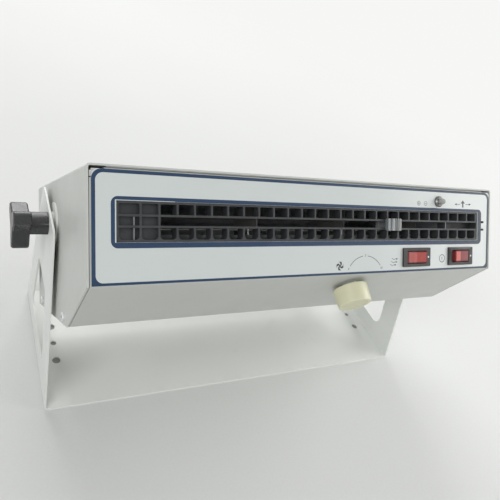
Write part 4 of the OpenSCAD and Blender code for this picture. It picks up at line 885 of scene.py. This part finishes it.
def floor_material():
    """Pale and plain: darker under the stand's plate, where little light gets, and lost in the
    backdrop farther off."""
    ground = Surface("floor", rough=0.75)
    drift = ground.fit(ground.noise(1.3), 0.3, 0.7)
    base = ground.mix(drift, (0.655, 0.66, 0.645), (0.70, 0.705, 0.69))
    fleck = ground.fit(ground.noise(420.0, 3.0, 0.7), 0.35, 0.65, 0.0, 0.10)
    base = ground.mix(fleck, base, (0.52, 0.525, 0.515))
    plate_x, plate_y, soft = 182.0, 60.0, 2.0   # half sizes of the patch of painted shade under the plate, in mm
    off_x, off_y = (ground.math("ABSOLUTE", ground.along(axis)) for axis in (RIGHT, REAR))
    # painted shade: the floor is darker under the stand's plate, seen through its holes
    under = ground.math("MULTIPLY", ground.fit(off_x, plate_x + soft, plate_x - soft),
                        ground.fit(off_y, plate_y + soft, plate_y - soft))
    ground.set("Base Color", ground.mix(under, base, (0.30, 0.302, 0.295)))
    distance = ground.node("ShaderNodeVectorMath", operation="LENGTH")
    ground.feed(distance.inputs[0], ground.coords)
    fade = ground.fit(distance.outputs["Value"], 0.45, 1.3)   # metres from the middle
    glow = ground.node("ShaderNodeEmission")
    ground.feed(glow.inputs["Color"], PALE)
    join_shaders(ground.tree, ground.math("MULTIPLY", fade, looked_at(ground.tree)),
                 ground.bsdf.outputs[0], glow.outputs[0], "Material Output")
    return ground.material


def backdrop():
    """Soft light from all round, and the pale backdrop where it is looked at."""
    world = bpy.data.worlds.new("world")
    bpy.context.scene.world = world
    world.use_nodes = True
    sky = world.node_tree
    soft = sky.nodes["Background"]
    soft.inputs["Color"].default_value = (0.98, 0.99, 1.0, 1)
    soft.inputs["Strength"].default_value = 0.36
    pale = sky.nodes.new("ShaderNodeBackground")
    pale.inputs["Color"].default_value = (*PALE, 1)
    join_shaders(sky, looked_at(sky), soft.outputs[0], pale.outputs[0], "World Output")


def lamp(name, place, aim, size, power, color=(1, 1, 1)):
    light = bpy.data.lights.new(name, "AREA")
    light.shape = "RECTANGLE"
    light.size, light.size_y = size
    light.energy = power
    light.color = color
    ob = link(bpy.data.objects.new(name, light))
    ob.location = place
    ob.rotation_euler = (Vector(aim) - Vector(place)).to_track_quat("-Z", "Y").to_euler()


FLOOR_HALF = 9.0   # half the floor's side, in metres
floor_mesh = bpy.data.meshes.new("floor")
corners = [(x, y, 0) for x, y in rectangle(-FLOOR_HALF, -FLOOR_HALF, FLOOR_HALF, FLOOR_HALF)]
floor_mesh.from_pydata(corners, [], [(0, 1, 2, 3)])
floor_mesh.materials.append(floor_material())
floor = link(bpy.data.objects.new("floor", floor_mesh))

backdrop()
# three large soft lamps, and a small one for the panel's right end; places and sizes in metres
STAND_MIDDLE = (0, 0, 0.1)
SOFTBOX = (1.6, 1.2)
lamp("left", (-1.6, -1.2, 1.5), STAND_MIDDLE, SOFTBOX, 23, (0.99, 1.0, 1.0))
lamp("right_front", (0.75, -0.6, 0.5), (0.15, -0.05, 0.15), (0.5, 0.4), 1.0)
lamp("right", (2.0, 0.0, 1.3), STAND_MIDDLE, SOFTBOX, 28, (1.0, 1.0, 0.99))
lamp("back", (0.0, 2.0, 1.5), STAND_MIDDLE, SOFTBOX, 33)

# the photograph's view, fitted to the corners of the housing, panel, outlet and plate
cam_data = bpy.data.cameras.new("camera")
cam_data.lens = 37.0423
cam_data.sensor_width = 36
cam_data.clip_end = 50
cam = link(bpy.data.objects.new("camera", cam_data))
cam.location = (-0.24755, -0.31624, 0.39500)
cam.rotation_mode = "XYZ"
cam.rotation_euler = (math.radians(52.2825), math.radians(-18.5287), math.radians(-23.5519))
bpy.context.scene.camera = cam

bpy.context.scene.view_settings.view_transform = "Standard"
